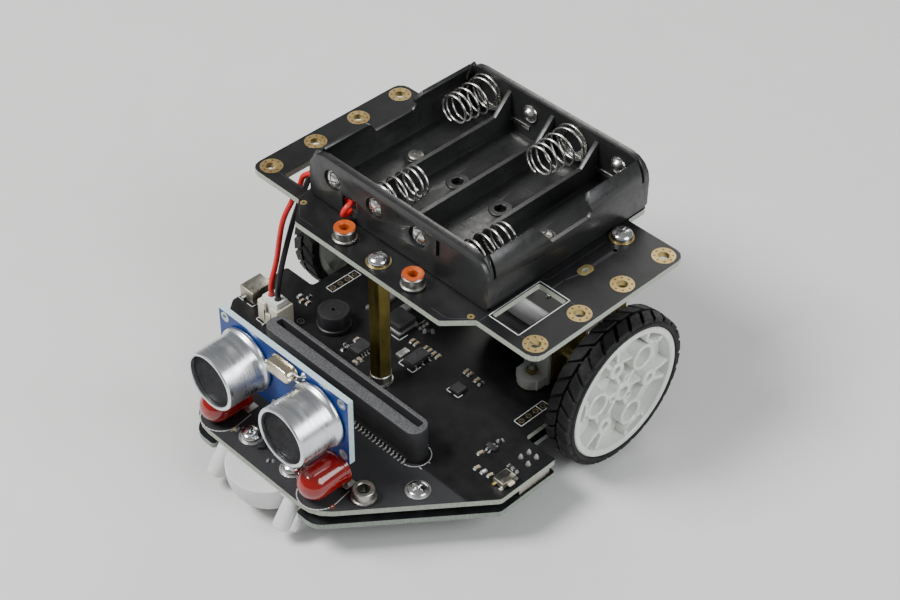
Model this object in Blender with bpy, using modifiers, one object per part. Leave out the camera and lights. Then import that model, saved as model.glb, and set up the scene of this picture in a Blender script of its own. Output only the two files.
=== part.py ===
"""Two wheel robot car: two stacked circuit boards, two geared wheels, a ball caster,
an ultrasonic range sensor, two headlights and a four-cell battery holder.

Metres, +Z up, the car faces -Y. Y positions are given from the wheel axle and the
function at() moves them into the part's own frame, whose origin is the bottom centre
of the whole car's box.
"""
import math

import bmesh
import bpy
from mathutils import Matrix, Vector

NAME = "two_wheel_robot_car"
GAP = 0.0003            # clearance between pieces that touch
AXLE_Y = 0.0286         # the wheel axle's place along Y
AXLE_Z = 0.0215         # the wheel axle's height, which is the tyre's radius
SIDES = (("left", -1), ("right", 1))

# plates
BOARD_T = 0.0016
MAIN_TOP = 0.0150
LOWER_TOP = 0.0106
DECK_TOP = 0.0546
MAIN_Z = MAIN_TOP - BOARD_T
LOWER_Z = LOWER_TOP - BOARD_T
DECK_Z = DECK_TOP - BOARD_T
MAIN_HALF = 0.0498
MAIN_FRONT = -0.0784
REAR_Y = 0.0268
NOTCH_X = 0.0395
NOTCH_Y = 0.0242
BOARD_SIDE = [                        # the right half of both lower plates, (x, y, radius)
    (MAIN_HALF, -0.0432, 0.0020),
    (MAIN_HALF, -NOTCH_Y, 0.0008),
    (NOTCH_X, -NOTCH_Y, 0.0010),
    (NOTCH_X, 0.0200, 0.0010),
    (0.0325, REAR_Y, 0.0020),
]
CASTER_BAY = [                        # the lower plate's opening round the caster
    (0.0155, -0.0600, 0.0020),
    (0.0155, MAIN_FRONT, 0.0010),
    (0.0218, MAIN_FRONT, 0.0050),
]

# fasteners
POST_X, POST_Y = 0.0345, 0.0130       # rear standoffs
FRONT_POST_Y = -0.0359                # front standoff and the deck's two spacers
DECK_SPACER_X = 0.0120
NUT_R, NUT_H = 0.0028, 0.0030
FLANGE_R, FLANGE_H = 0.0032, 0.0005
BORE_R = 0.0016
HEX_FLATS = 0.0050
STUD_R = 0.0012
DECK_SCREW = (0.0338, -0.0554)        # screws that tie the two lower plates
FRONT_NUT = (0.0266, -0.0663)         # spare threaded spacers on the main board

# electrical parts on the main board
SOCKET_X, SOCKET_Y = -0.0353, -0.0404
BUZZER_X, BUZZER_Y = -0.0236, -0.0306
BUZZER_R, BUZZER_H = 0.0043, 0.0054
SWITCH_X, SWITCH_Y = -0.0468, -0.0373
SWITCH_TRAVEL = 0.0020
BUTTON_X, BUTTON_Y = 0.0463, -0.0386
WIRE_R = 0.00075
PLUG_TOP = MAIN_TOP + GAP + 0.0064

# wheels and drive
TYRE_R, TYRE_W = AXLE_Z, 0.0081
RIM_R = 0.0186
WHEEL_OUT = 0.0505
WHEEL_IN = WHEEL_OUT - TYRE_W
GEARBOX_IN, GEARBOX_OUT = 0.0223, 0.0313
GEARBOX_Y, GEARBOX_Z = 0.0060, 0.0050
SHAFT_R = 0.0015
MOTOR_L = 0.0150
GEAR_MODULE = 0.00025
PINION_TEETH, GEAR_TEETH = 8, 16
IDLER_OFFSET = GEAR_MODULE * (PINION_TEETH + GEAR_TEETH) / 2
BRACKET_WALL = 0.0012

# caster
CASTER_Y = -0.0735
CASTER_R, CASTER_SHOULDER, CASTER_DROP = 0.0107, 0.0086, 0.0080
BALL_R = 0.0050
CASTER_SCREW_X = 0.0076
CASTER_SCREW_Y = -0.0723
EAR_X, EAR_Y, EAR_Z = 0.0124, -0.0810, 0.0042
EAR_R, EAR_L, EAR_TILT = 0.0023, 0.0125, 35

# sensor and lights
SENSOR_Y = -0.0657
SENSOR_HALF, SENSOR_LOW, SENSOR_HIGH = 0.0231, 0.0245, 0.0444
CAN_X, CAN_Z = 0.0130, 0.0345
CAN_R, CAN_L = 0.0080, 0.0120
LAMP_X, LAMP_REAR = 0.0181, -0.0664
LAMP_R, LAMP_BODY = 0.0044, 0.0077

# battery holder
HOLDER_HALF = 0.0310
HOLDER_FRONT, HOLDER_REAR = -0.0302, 0.0263
HOLDER_Z = DECK_TOP + GAP
HOLDER_TOP = HOLDER_Z + 0.0142
HOLDER_WALL = 0.0020
HOLDER_FLOOR = 0.0010
CELL_R, CELL_PITCH = 0.00725, 0.0150
CELL_Z = HOLDER_Z + HOLDER_FLOOR + CELL_R + GAP / 2
BAYS = tuple((i - 1.5) * CELL_PITCH for i in range(4))
FLOOR_HOLE_Y = -0.0018
CLIP_ROOT = HOLDER_Z + 0.0084
CLIP_GAP = [                          # the opening between the side clips, (y, z, radius)
    (-0.0085, CLIP_ROOT, 0.0006),
    (0.0044, CLIP_ROOT, 0.0006),
    (0.0056, CLIP_ROOT + 0.0013, 0.0008),
    (0.0046, CLIP_ROOT + 0.0034, 0.0008),
    (0.0064, HOLDER_TOP, 0),
    (0.0064, HOLDER_TOP + 0.0020, 0),
    (-0.0136, HOLDER_TOP + 0.0020, 0),
    (-0.0136, HOLDER_TOP, 0),
    (-0.0110, CLIP_ROOT + 0.0035, 0.0020),
]
SPRING_L, SPRING_R, SPRING_TIP_R = 0.0125, 0.0052, 0.0038

MATERIALS = {
    "black_board": ((0.012, 0.012, 0.014), 0.40, 0.0),
    "smoke_plate": ((0.020, 0.020, 0.022), 0.20, 0.0),
    "blue_board": ((0.010, 0.045, 0.230), 0.35, 0.0),
    "black_plastic": ((0.018, 0.018, 0.020), 0.45, 0.0),
    "ivory_plastic": ((0.700, 0.660, 0.520), 0.50, 0.0),
    "white_plastic": ((0.820, 0.820, 0.800), 0.40, 0.0),
    "clear_nylon": ((0.620, 0.640, 0.620), 0.45, 0.0),
    "red_lens": ((0.550, 0.010, 0.005), 0.15, 0.0),
    "tyre_rubber": ((0.020, 0.020, 0.020), 0.80, 0.0),
    "brass": ((0.550, 0.430, 0.130), 0.35, 1.0),
    "steel": ((0.600, 0.590, 0.570), 0.30, 1.0),
    "aluminium": ((0.780, 0.790, 0.800), 0.28, 1.0),
    "spring_steel": ((0.700, 0.690, 0.660), 0.20, 1.0),
    "red_wire": ((0.650, 0.020, 0.020), 0.45, 0.0),
    "black_wire": ((0.020, 0.020, 0.020), 0.45, 0.0),
}


# ---------------------------------------------------------------- helpers

def at(x, y, z):
    """A point given from the axle's middle on the ground, in the part's frame."""
    return Vector((x, y + AXLE_Y, z))


def clear_scene():
    for obj in list(bpy.data.objects):
        bpy.data.objects.remove(obj, do_unlink=True)


def make_collection(name):
    collection = bpy.data.collections.new(name)
    bpy.context.scene.collection.children.link(collection)
    return collection


def material(name):
    if name in bpy.data.materials:
        return bpy.data.materials[name]
    colour, roughness, metallic = MATERIALS[name]
    mat = bpy.data.materials.new(name)
    mat.use_nodes = True
    shader = mat.node_tree.nodes["Principled BSDF"]
    shader.inputs["Base Color"].default_value = (*colour, 1.0)
    shader.inputs["Roughness"].default_value = roughness
    shader.inputs["Metallic"].default_value = metallic
    return mat


def place(name, mesh, mat_name, location=(0, 0, 0), group=None):
    obj = bpy.data.objects.new(name, mesh)
    obj.location = location
    (group or PARTS).objects.link(obj)
    if mat_name:
        mesh.materials.clear()
        mesh.materials.append(material(mat_name))
    return obj


def smooth(obj, degrees=35):
    obj.data.shade_smooth()
    obj.data.set_sharp_from_angle(angle=math.radians(degrees))
    return obj


def evaluated_mesh(obj):
    """The object's mesh with its modifiers or curve settings made real."""
    bpy.context.view_layer.update()
    source = obj.evaluated_get(bpy.context.evaluated_depsgraph_get())
    mesh = bpy.data.meshes.new_from_object(source)
    bm = bmesh.new()
    bm.from_mesh(mesh)
    bmesh.ops.remove_doubles(bm, verts=bm.verts, dist=1e-6)
    bm.to_mesh(mesh)
    bm.free()
    return mesh


def make_real(obj):
    """Apply the modifiers, so that the piece can be shared, cut or joined."""
    mesh = evaluated_mesh(obj)
    obj.modifiers.clear()
    obj.data = mesh
    return obj


def discard(*objects):
    for obj in objects:
        bpy.data.objects.remove(obj, do_unlink=True)


def combine(target, other, operation):
    """Boolean the other object with the target, then remove the other."""
    mod = target.modifiers.new(operation.lower(), "BOOLEAN")
    mod.operation = operation
    mod.solver = "EXACT"
    mod.object = other
    make_real(target)
    discard(other)
    return target


def cut(target, *cutters):
    for cutter in cutters:
        combine(target, cutter, "DIFFERENCE")
    return target


def join(target, *others):
    for other in others:
        combine(target, other, "UNION")
    return target


def tool(mesh, location=(0, 0, 0)):
    """A guide solid, used only to cut or extend a piece."""
    obj = place("tool", mesh, None, location, TOOLS)
    obj.hide_render = True
    obj.display_type = "WIRE"
    return obj


def box_mesh(low, high):
    """A box between two corners, in the object's own frame."""
    low, high = Vector(low), Vector(high)
    bm = bmesh.new()
    size = high - low
    bmesh.ops.create_cube(bm, size=1.0)
    bmesh.ops.scale(bm, vec=size, verts=bm.verts)
    bmesh.ops.translate(bm, vec=(low + high) / 2, verts=bm.verts)
    mesh = bpy.data.meshes.new("box")
    bm.to_mesh(mesh)
    bm.free()
    return mesh


def rod_mesh(radius, low, high, axis="Z", segments=20, radius_high=None):
    """A cylinder or cone frustum along an axis, from low to high on that axis."""
    bm = bmesh.new()
    top = radius if radius_high is None else radius_high
    bmesh.ops.create_cone(bm, cap_ends=True, segments=segments, radius1=radius,
                          radius2=top, depth=high - low)
    bmesh.ops.translate(bm, vec=(0, 0, (low + high) / 2), verts=bm.verts)
    bmesh.ops.transform(bm, matrix=axis_turn(axis), verts=bm.verts)
    mesh = bpy.data.meshes.new("rod")
    bm.to_mesh(mesh)
    bm.free()
    return mesh


def axis_turn(axis):
    """Rotation that carries +Z onto the named axis."""
    if axis == "X":
        return Matrix.Rotation(math.pi / 2, 4, "Y")
    if axis == "Y":
        return Matrix.Rotation(-math.pi / 2, 4, "X")
    return Matrix.Identity(4)


def turned_mesh(profile, axis="Z", steps=32):
    """Spin (radius, height) points, listed down the outer side, round the axis.

    A profile that starts and ends at radius 0 is a solid, any other is a closed ring.
    """
    count = len(profile)
    is_ring = profile[0][0] > 0 or profile[-1][0] > 0
    mesh = bpy.data.meshes.new("profile")
    edges = [(i, i + 1) for i in range(count - 1)]
    if is_ring:
        edges.append((count - 1, 0))
    mesh.from_pydata([(r, 0, h) for r, h in profile], edges, [])
    obj = tool(mesh)
    screw = obj.modifiers.new("spin", "SCREW")
    screw.axis = "Z"
    screw.steps = steps
    screw.render_steps = steps
    screw.use_merge_vertices = True
    screw.merge_threshold = 1e-5
    make_real(obj)
    result = obj.data
    discard(obj)
    result.transform(axis_turn(axis))
    return result


def slab_mesh(loops, low, high, plane="XY"):
    """Extrude flat closed outlines; the first loop is the edge, the others are holes.

    Plane XY extrudes along +Z, XZ along +Y and YZ along +X.
    """
    curve = bpy.data.curves.new("outline", "CURVE")
    curve.dimensions = "2D"
    curve.fill_mode = "BOTH"
    curve.extrude = (high - low) / 2
    for loop in loops:
        spline = curve.splines.new("POLY")
        spline.points.add(len(loop) - 1)
        for point, (u, v) in zip(spline.points, loop):
            point.co = (u, v, 0, 1)
        spline.use_cyclic_u = True
    obj = tool(curve)
    mesh = evaluated_mesh(obj)
    discard(obj)
    mesh.transform(Matrix.Translation((0, 0, (low + high) / 2)))
    if plane == "XZ":
        mesh.transform(Matrix(((1, 0, 0, 0), (0, 0, 1, 0), (0, 1, 0, 0), (0, 0, 0, 1))))
        mesh.flip_normals()
    if plane == "YZ":
        mesh.transform(Matrix(((0, 0, 1, 0), (1, 0, 0, 0), (0, 1, 0, 0), (0, 0, 0, 1))))
    return mesh


def tube_mesh(points, radius, roundness=2):
    """A round wire through the points, with filled ends."""
    curve = bpy.data.curves.new("wire", "CURVE")
    curve.dimensions = "3D"
    curve.bevel_depth = radius
    curve.bevel_resolution = roundness
    curve.use_fill_caps = True
    spline = curve.splines.new("POLY")
    spline.points.add(len(points) - 1)
    for point, place_at in zip(spline.points, points):
        point.co = (*place_at, 1)
    obj = tool(curve)
    mesh = evaluated_mesh(obj)
    discard(obj)
    return mesh


def circle(x, y, radius, count=12, start=0.0):
    return [(x + radius * math.cos(start + i * math.tau / count),
             y + radius * math.sin(start + i * math.tau / count)) for i in range(count)]


def rounded(corners, segments=3):
    """Round a polygon's corners; each corner is (x, y, radius)."""
    points = []
    count = len(corners)
    for i, (x, y, radius) in enumerate(corners):
        here = Vector((x, y))
        if radius == 0:
            points.append((x, y))
            continue
        before = (Vector(corners[i - 1][:2]) - here).normalized()
        after = (Vector(corners[(i + 1) % count][:2]) - here).normalized()
        half = before.angle(after) / 2
        reach = radius / math.tan(half)
        centre = here + (before + after).normalized() * (radius / math.sin(half))
        start = here + before * reach - centre
        turn = (here + after * reach - centre).angle_signed(start)
        for step in range(segments + 1):
            arm = Matrix.Rotation(turn * step / segments, 2) @ start
            points.append(tuple(centre + arm))
    return points


def both_sides(right_half):
    """Mirror a right-hand outline, listed from the front centre to the rear centre."""
    left = [(-x, y, r) for x, y, r in reversed(right_half)]
    return right_half + left


def smooth_path(points, steps):
    """Catmull-Rom curve through the points, without bends at them."""
    knots = [2 * points[0] - points[1]] + points + [2 * points[-1] - points[-2]]
    path = []
    for i in range(1, len(knots) - 2):
        a, b, c, d = knots[i - 1:i + 3]
        for step in range(steps):
            t = step / steps
            path.append(0.5 * (2 * b + (c - a) * t + (2 * a - 5 * b + 4 * c - d) * t * t
                               + (3 * b - a - 3 * c + d) * t ** 3))
    path.append(points[-1])
    return path


# ---------------------------------------------------------------- plates

def shift(loop):
    return [(x, y + AXLE_Y) for x, y in loop]


def deck_outline():
    half = [
        (0.0253, -0.0404, 0.0010),
        (0.0312, -0.0340, 0.0010),
        (0.0500, -0.0340, 0.0030),
        (0.0500, 0.0190, 0.0030),
        (0.0312, 0.0190, 0.0006),
        (0.0312, REAR_Y, 0.0020),
    ]
    return rounded(both_sides(half))


def box_loop(x0, x1, y0, y1, radius=0.0005):
    return rounded([(x0, y0, radius), (x1, y0, radius), (x1, y1, radius), (x0, y1, radius)], 2)


def make_main_board():
    loops = [rounded(both_sides([(0.0218, MAIN_FRONT, 0.0100)] + BOARD_SIDE))]
    for _, s in SIDES:
        loops.append(circle(s * DECK_SCREW[0], DECK_SCREW[1], BORE_R))
        loops.append(circle(s * CASTER_SCREW_X, CASTER_SCREW_Y, BORE_R))
        loops.append(circle(s * FRONT_NUT[0], FRONT_NUT[1], BORE_R))
    mesh = slab_mesh([shift(loop) for loop in loops], MAIN_Z, MAIN_TOP)
    place("main_board", mesh, "black_board")


def make_lower_plate():
    """The same outline as the main board, open at the front round the caster."""
    loops = [rounded(both_sides(CASTER_BAY + BOARD_SIDE))]
    for _, s in SIDES:
        loops.append(circle(s * DECK_SCREW[0], DECK_SCREW[1], BORE_R))
    mesh = slab_mesh([shift(loop) for loop in loops], LOWER_Z, LOWER_TOP)
    place("lower_plate", mesh, "smoke_plate")


def make_top_plate():
    loops = [deck_outline(), circle(0, FRONT_POST_Y, BORE_R)]
    for _, s in SIDES:
        loops.append(circle(s * POST_X, POST_Y, BORE_R))
        loops.append(circle(s * DECK_SPACER_X, FRONT_POST_Y, BORE_R))
        x0, x1 = sorted((s * 0.0324, s * 0.0412))
        loops.append(box_loop(x0, x1, -0.0300, -0.0140))
        for row in range(4):
            loops.append(circle(s * 0.04625, -0.0300 + row * 0.0150, 0.0015))
    loops.append(box_loop(0.0361, 0.0373, -0.0035, -0.0016, 0.0004))
    mesh = slab_mesh([shift(loop) for loop in loops], DECK_Z, DECK_TOP)
    place("top_plate", mesh, "black_board")


# ---------------------------------------------------------------- fasteners

def spacer_mesh(height, flange_at_bottom=True):
    """A round threaded spacer with a thin solder flange."""
    low = [(FLANGE_R, FLANGE_H), (FLANGE_R, 0), (BORE_R, 0)]
    if not flange_at_bottom:
        low = [(NUT_R, 0), (BORE_R, 0)]
    step = [(NUT_R, FLANGE_H)] if flange_at_bottom else []
    profile = [(BORE_R, height), (NUT_R, height)] + step + low
    return turned_mesh(profile, steps=16)


def standoff_mesh(length):
    """Hexagonal pillar with a stud below and a threaded hole above."""
    corner = HEX_FLATS / 2 / math.cos(math.pi / 6)
    body = tool(rod_mesh(corner, 0, length, segments=6))
    stud = tool(rod_mesh(STUD_R, -0.0024, 0.0010, segments=10))
    bore = tool(rod_mesh(BORE_R, length - 0.0060, length + 0.0010, segments=12))
    join(body, stud)
    cut(body, bore)
    mesh = body.data
    discard(body)
    return mesh


def screw_mesh(head_r, head_h, shank_l, shank_r=STUD_R):
    """Pan head screw; the head's seat is at height 0."""
    dome = [(head_r * math.cos(a), head_h * (0.35 + 0.65 * math.sin(a)))
            for a in (math.radians(d) for d in (60, 30, 0))]
    profile = [(0, head_h)] + dome + [(head_r, 0), (shank_r, 0), (shank_r, -shank_l),
                                      (0, -shank_l)]
    return turned_mesh(profile, steps=14)


def make_posts():
    """Three hexagonal standoffs on board nuts, with screws through the top plate."""
    nut_low = MAIN_TOP + GAP / 2
    post_low = nut_low + NUT_H + GAP / 2
    nut = spacer_mesh(NUT_H)
    post = standoff_mesh(DECK_Z - GAP / 2 - post_low)
    screw = screw_mesh(0.0028, 0.0020, 0.0055)
    spots = (("front", 0, FRONT_POST_Y), ("left", -POST_X, POST_Y), ("right", POST_X, POST_Y))
    for name, x, y in spots:
        smooth(place("base_nut_" + name, nut, "steel", at(x, y, nut_low)))
        smooth(place("standoff_" + name, post, "brass", at(x, y, post_low)), 25)
        smooth(place("deck_screw_" + name, screw, "steel", at(x, y, DECK_TOP + GAP)))


def make_spacers():
    """Threaded spacers on the top plate and on the main board's front right corner."""
    spacer = spacer_mesh(NUT_H)
    smooth(place("front_nut_right", spacer, "steel", at(*FRONT_NUT, MAIN_TOP + GAP)))
    for name, s in SIDES:
        smooth(place("deck_spacer_" + name, spacer, "steel",
                     at(s * DECK_SPACER_X, FRONT_POST_Y, DECK_TOP + GAP)))


def make_plate_screws():
    """Low screws and spacers that hold the lower plate under the main board."""
    screw = screw_mesh(0.0027, 0.0010, 0.0075)
    spacer = turned_mesh([(BORE_R, MAIN_Z - GAP / 2), (0.0025, MAIN_Z - GAP / 2),
                          (0.0025, LOWER_TOP + GAP / 2), (BORE_R, LOWER_TOP + GAP / 2)],
                         steps=14)
    for name, s in SIDES:
        x, y = s * DECK_SCREW[0], DECK_SCREW[1]
        smooth(place("plate_screw_" + name, screw, "steel", at(x, y, MAIN_TOP + GAP)))
        smooth(place("plate_spacer_" + name, spacer, "brass", at(x, y, 0)))


# ---------------------------------------------------------------- main board parts

def make_edge_connector():
    """Long socket with round ends that a control board plugs into."""
    x0, x1, y0, y1 = -0.0281, 0.0279, -0.0511, -0.0445
    low, high = MAIN_TOP + GAP, 0.0254
    body = rounded([(x0, y0, 0.0031), (x1, y0, 0.0031), (x1, y1, 0.0031), (x0, y1, 0.0031)], 6)
    obj = place("edge_connector", slab_mesh([shift(body)], low, high), "black_plastic")
    slot = box_mesh((x0 + 0.0020, AXLE_Y - 0.0476, low + 0.0020),
                    (x1 - 0.0020, AXLE_Y - 0.0459, high + 0.0010))
    cut(obj, tool(slot))
    smooth(obj)


def make_buzzer():
    """Round sounder with a small top hole, standing on a wider base ring."""
    profile = [(0, BUZZER_H * 0.6), (0.0005, BUZZER_H * 0.6), (0.0005, BUZZER_H),
               (BUZZER_R - 0.0003, BUZZER_H), (BUZZER_R, BUZZER_H - 0.0003), (BUZZER_R, 0.0008),
               (BUZZER_R + 0.0003, 0.0008), (BUZZER_R + 0.0003, 0), (0, 0)]
    obj = place("buzzer", turned_mesh(profile, steps=24), "black_plastic",
                at(BUZZER_X, BUZZER_Y, MAIN_TOP + GAP))
    smooth(obj)


def make_battery_socket():
    """Two-pin shrouded header and the lead's plug inside it."""
    hx, hy, wall, h = 0.0039, 0.0028, 0.0008, 0.0066
    obj = place("battery_socket", box_mesh((-hx, -hy, 0), (hx, hy, h)), "ivory_plastic",
                at(SOCKET_X, SOCKET_Y, MAIN_TOP + GAP))
    cut(obj, tool(box_mesh((-hx + wall, -hy + wall, 0.0012), (hx - wall, hy - wall, h * 2)),
                  obj.location))
    notch = box_mesh((-0.0012, -hy * 2, 0.0035), (0.0012, -hy + wall * 2, h * 2))
    cut(obj, tool(notch, obj.location))
    px, py = hx - wall - 0.0002, hy - wall - 0.0002
    plug = place("battery_plug", box_mesh((-px, -py, 0.0016), (px, py, 0.0082)),
                 "white_plastic", at(SOCKET_X, SOCKET_Y, MAIN_TOP + GAP))
    for s in (-1, 1):
        well = rod_mesh(0.0010, 0.0064, 0.0100, segments=12)
        cut(plug, tool(well, plug.location + Vector((s * 0.00125, 0, 0))))


def make_power_switch():
    """Slide switch: a metal can with a slot facing -X, and the knob in it."""
    hx, hy, h = 0.0026, 0.0035, 0.0037
    base = MAIN_TOP + GAP
    body = place("switch_body", box_mesh((-hx, -hy, 0), (hx, hy, h)), "steel",
                 at(SWITCH_X, SWITCH_Y, base))
    slot = box_mesh((-hx * 2, -0.0022, 0.0009), (0.0010, 0.0022, 0.0027))
    cut(body, tool(slot, body.location))
    knob = place("switch_slider", box_mesh((-0.0037, -0.0009, 0.0012), (0.0007, 0.0009, 0.0024)),
                 "black_plastic", at(SWITCH_X, SWITCH_Y - SWITCH_TRAVEL / 2, base))
    soften(knob, 0.0002)


def soften(obj, width, segments=2):
    """Round a piece's edges."""
    mod = obj.modifiers.new("bevel", "BEVEL")
    mod.width = width
    mod.segments = segments
    mod.limit_method = "ANGLE"
    mod.angle_limit = math.radians(40)
    make_real(obj)
    return smooth(obj)


def make_side_button():
    """Push button at the board's right edge, pressed along -X."""
    hx, hy, h = 0.0017, 0.0023, 0.0017
    base = MAIN_TOP + GAP
    body = place("button_body", box_mesh((-hx, -hy, 0), (hx, hy, h)), "steel",
                 at(BUTTON_X, BUTTON_Y, base))
    cut(body, tool(box_mesh((-0.0002, -0.0011, 0.0004), (hx * 2, 0.0011, 0.0013)), body.location))
    plunger = place("button_plunger", box_mesh((0.0002, -0.0009, 0.0005), (0.0027, 0.0009, 0.0012)),
                    "ivory_plastic", at(BUTTON_X, BUTTON_Y, base))
    soften(plunger, 0.00015)


# ---------------------------------------------------------------- sensor and lamps

def make_sensor():
    """Upright blue board with two round transducers facing forward."""
    low = SENSOR_LOW
    board = box_mesh((-SENSOR_HALF, SENSOR_Y + AXLE_Y - BOARD_T, low),
                     (SENSOR_HALF, SENSOR_Y + AXLE_Y, SENSOR_HIGH))
    obj = place("sensor_board", board, "blue_board")
    for x in (-0.0209, 0.0209):
        for z in (low + 0.0017, SENSOR_HIGH - 0.0017):
            cut(obj, tool(rod_mesh(0.0008, -0.003, 0.003, "Y", 12), at(x, SENSOR_Y, z)))
    face = SENSOR_Y - BOARD_T - GAP
    r, lip = CAN_R, 0.0008
    profile = [(0, CAN_L - 0.0016), (r - lip, CAN_L - 0.0016), (r - lip, CAN_L), (r - 0.0002, CAN_L),
               (r, CAN_L - 0.0002), (r, 0.0010), (r + 0.0007, 0.0010), (r + 0.0007, 0), (0, 0)]
    can = turned_mesh(profile, "Y", 28)
    can.transform(Matrix.Rotation(math.pi, 4, "Z"))
    for name, s in SIDES:
        smooth(place("transducer_" + name, can, "aluminium", at(s * CAN_X, face, CAN_Z)))
    make_sensor_header()


def make_sensor_header():
    """Right-angled four-pin socket between the sensor board and the main board."""
    low, high = MAIN_TOP + GAP, SENSOR_LOW + 0.0022
    y0 = SENSOR_Y + GAP
    mesh = box_mesh((-0.0051, AXLE_Y + y0, low), (0.0051, AXLE_Y + y0 + 0.0025, high))
    place("sensor_header", mesh, "black_plastic")


def make_headlights():
    """Round-nosed red lamps lying on the board, pointing forward."""
    r, body, nose = LAMP_R, LAMP_BODY, 5
    arc = [(r * math.cos(a), body + r * math.sin(a))
           for a in (math.pi / 2 * i / nose for i in range(nose, -1, -1))]
    profile = [(0, body + r)] + arc[1:] + [(r, 0.0002), (r - 0.0002, 0), (0, 0)]
    lamp = turned_mesh(profile, "Y", 24)
    lamp.transform(Matrix.Rotation(math.pi, 4, "Z"))
    for name, s in SIDES:
        spot = at(s * LAMP_X, LAMP_REAR, MAIN_TOP + GAP + r)
        smooth(place("headlight_" + name, lamp, "red_lens", spot))


# ---------------------------------------------------------------- drive

def gear_outline(teeth, phase=0.0):
    """Outline of a small spur gear with straight-sided, slightly thin teeth."""
    pitch = GEAR_MODULE * teeth / 2
    root, tip = pitch - 1.2 * GEAR_MODULE, pitch + 0.85 * GEAR_MODULE
    step = math.tau / teeth
    points = []
    for i in range(teeth):
        middle = phase + i * step
        for radius, width in ((root, 0.60), (tip, 0.20)):
            points.append((radius, middle - step * width / 2))
        for radius, width in ((tip, 0.20), (root, 0.60)):
            points.append((radius, middle + step * width / 2))
    return [(r * math.cos(a), r * math.sin(a)) for r, a in points]


def gear_mesh(teeth, low, high, phase=0.0):
    """A spur gear whose axis is X, between two places on it."""
    return slab_mesh([gear_outline(teeth, phase)], low, high, "YZ")


def make_wheel(name, s):
    """Moulded wheel: rim, web with round openings, hub and its inner boss."""
    depth = TYRE_W
    rim = [(RIM_R, depth / 2), (RIM_R, -depth / 2), (RIM_R - 0.0018, -depth / 2),
           (RIM_R - 0.0018, depth / 2)]
    wheel = tool(turned_mesh(rim, "X", 32))
    web = tool(rod_mesh(RIM_R - 0.0010, -0.0020, 0.0012, "X", 32))
    hub = tool(rod_mesh(0.0036, -0.0128, 0.0036, "X", 16))
    join(wheel, web, hub)
    for i in range(5):
        angle = math.tau * i / 5
        spot = Vector((0, 0.0105 * math.cos(angle), 0.0105 * math.sin(angle)))
        join(wheel, tool(rod_mesh(0.0035, -0.0015, 0.0034, "X", 12), spot))
        cut(wheel, tool(rod_mesh(0.0024, -0.0040, 0.0050, "X", 10), spot))
    bore = tool(rod_mesh(SHAFT_R + 0.0001, -0.0200, 0.0100, "X", 14))
    cut(wheel, bore)
    if s < 0:
        wheel.data.transform(Matrix.Rotation(math.pi, 4, "Z"))
    mesh = wheel.data
    discard(wheel)
    centre = at(s * (WHEEL_OUT - depth / 2), 0, AXLE_Z)
    return smooth(place("wheel_" + name, mesh, "white_plastic", centre))


def make_tyre(name, s):
    """Rubber tyre with a low crown, stretched over the rim."""
    inner, outer, half = RIM_R + 0.0001, TYRE_R, TYRE_W / 2
    profile = [(outer - 0.0005, half), (outer - 0.0001, half - 0.0009), (outer, 0),
               (outer - 0.0001, 0.0009 - half), (outer - 0.0005, -half), (inner, -half),
               (inner, half)]
    centre = at(s * (WHEEL_OUT - half), 0, AXLE_Z)
    smooth(place("tyre_" + name, turned_mesh(profile, "X", 40), "tyre_rubber", centre))


def make_motor(name, s):
    """Small flat-sided motor can with its nose bearing and rear cap."""
    length, r = MOTOR_L, GEARBOX_Y
    flat = GEARBOX_Z
    sweep = math.acos(flat / r)
    arc = [sweep + (math.pi - 2 * sweep) * i / 8 for i in range(9)]
    side = [(r * math.sin(a), r * math.cos(a)) for a in arc]
    outline = side + [(-y, -z) for y, z in side]
    low, high = sorted((s * (GEARBOX_IN - length), s * (GEARBOX_IN - GAP)))
    obj = tool(slab_mesh([outline], low, high, "YZ"))
    cap = tool(rod_mesh(0.0044, *sorted((s * (GEARBOX_IN - length - 0.0016),
                                          s * (GEARBOX_IN - length + 0.0010))), "X", 20))
    join(obj, cap)
    mesh = obj.data
    discard(obj)
    smooth(place("motor_" + name, mesh, "steel", at(0, 0, AXLE_Z)))


def make_gearbox(name, s):
    """Two brass end plates held apart by four pillars, open at the sides."""
    y, z, t = GEARBOX_Y, GEARBOX_Z, 0.0008
    plates = []
    for x in (GEARBOX_IN, GEARBOX_OUT - t):
        low, high = sorted((s * x, s * (x + t)))
        plates.append(tool(box_mesh((low, -y, -z), (high, y, z))))
    frame = plates[0]
    low, high = sorted((s * (GEARBOX_IN + t / 2), s * (GEARBOX_OUT - t / 2)))
    for sy, sz in ((-1, -1), (-1, 1), (1, 1), (1, -1)):
        pillar = tool(rod_mesh(0.0006, low, high, "X", 10), (0, sy * 0.0051, sz * 0.0041))
        join(frame, pillar)
    join(frame, plates[1])
    for x in (GEARBOX_IN, GEARBOX_OUT):
        cut(frame, tool(rod_mesh(SHAFT_R + 0.0001, s * x - 0.0015, s * x + 0.0015, "X", 20)))
    mesh = frame.data
    discard(frame)
    place("gearbox_" + name, mesh, "brass", at(0, 0, AXLE_Z))


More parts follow.
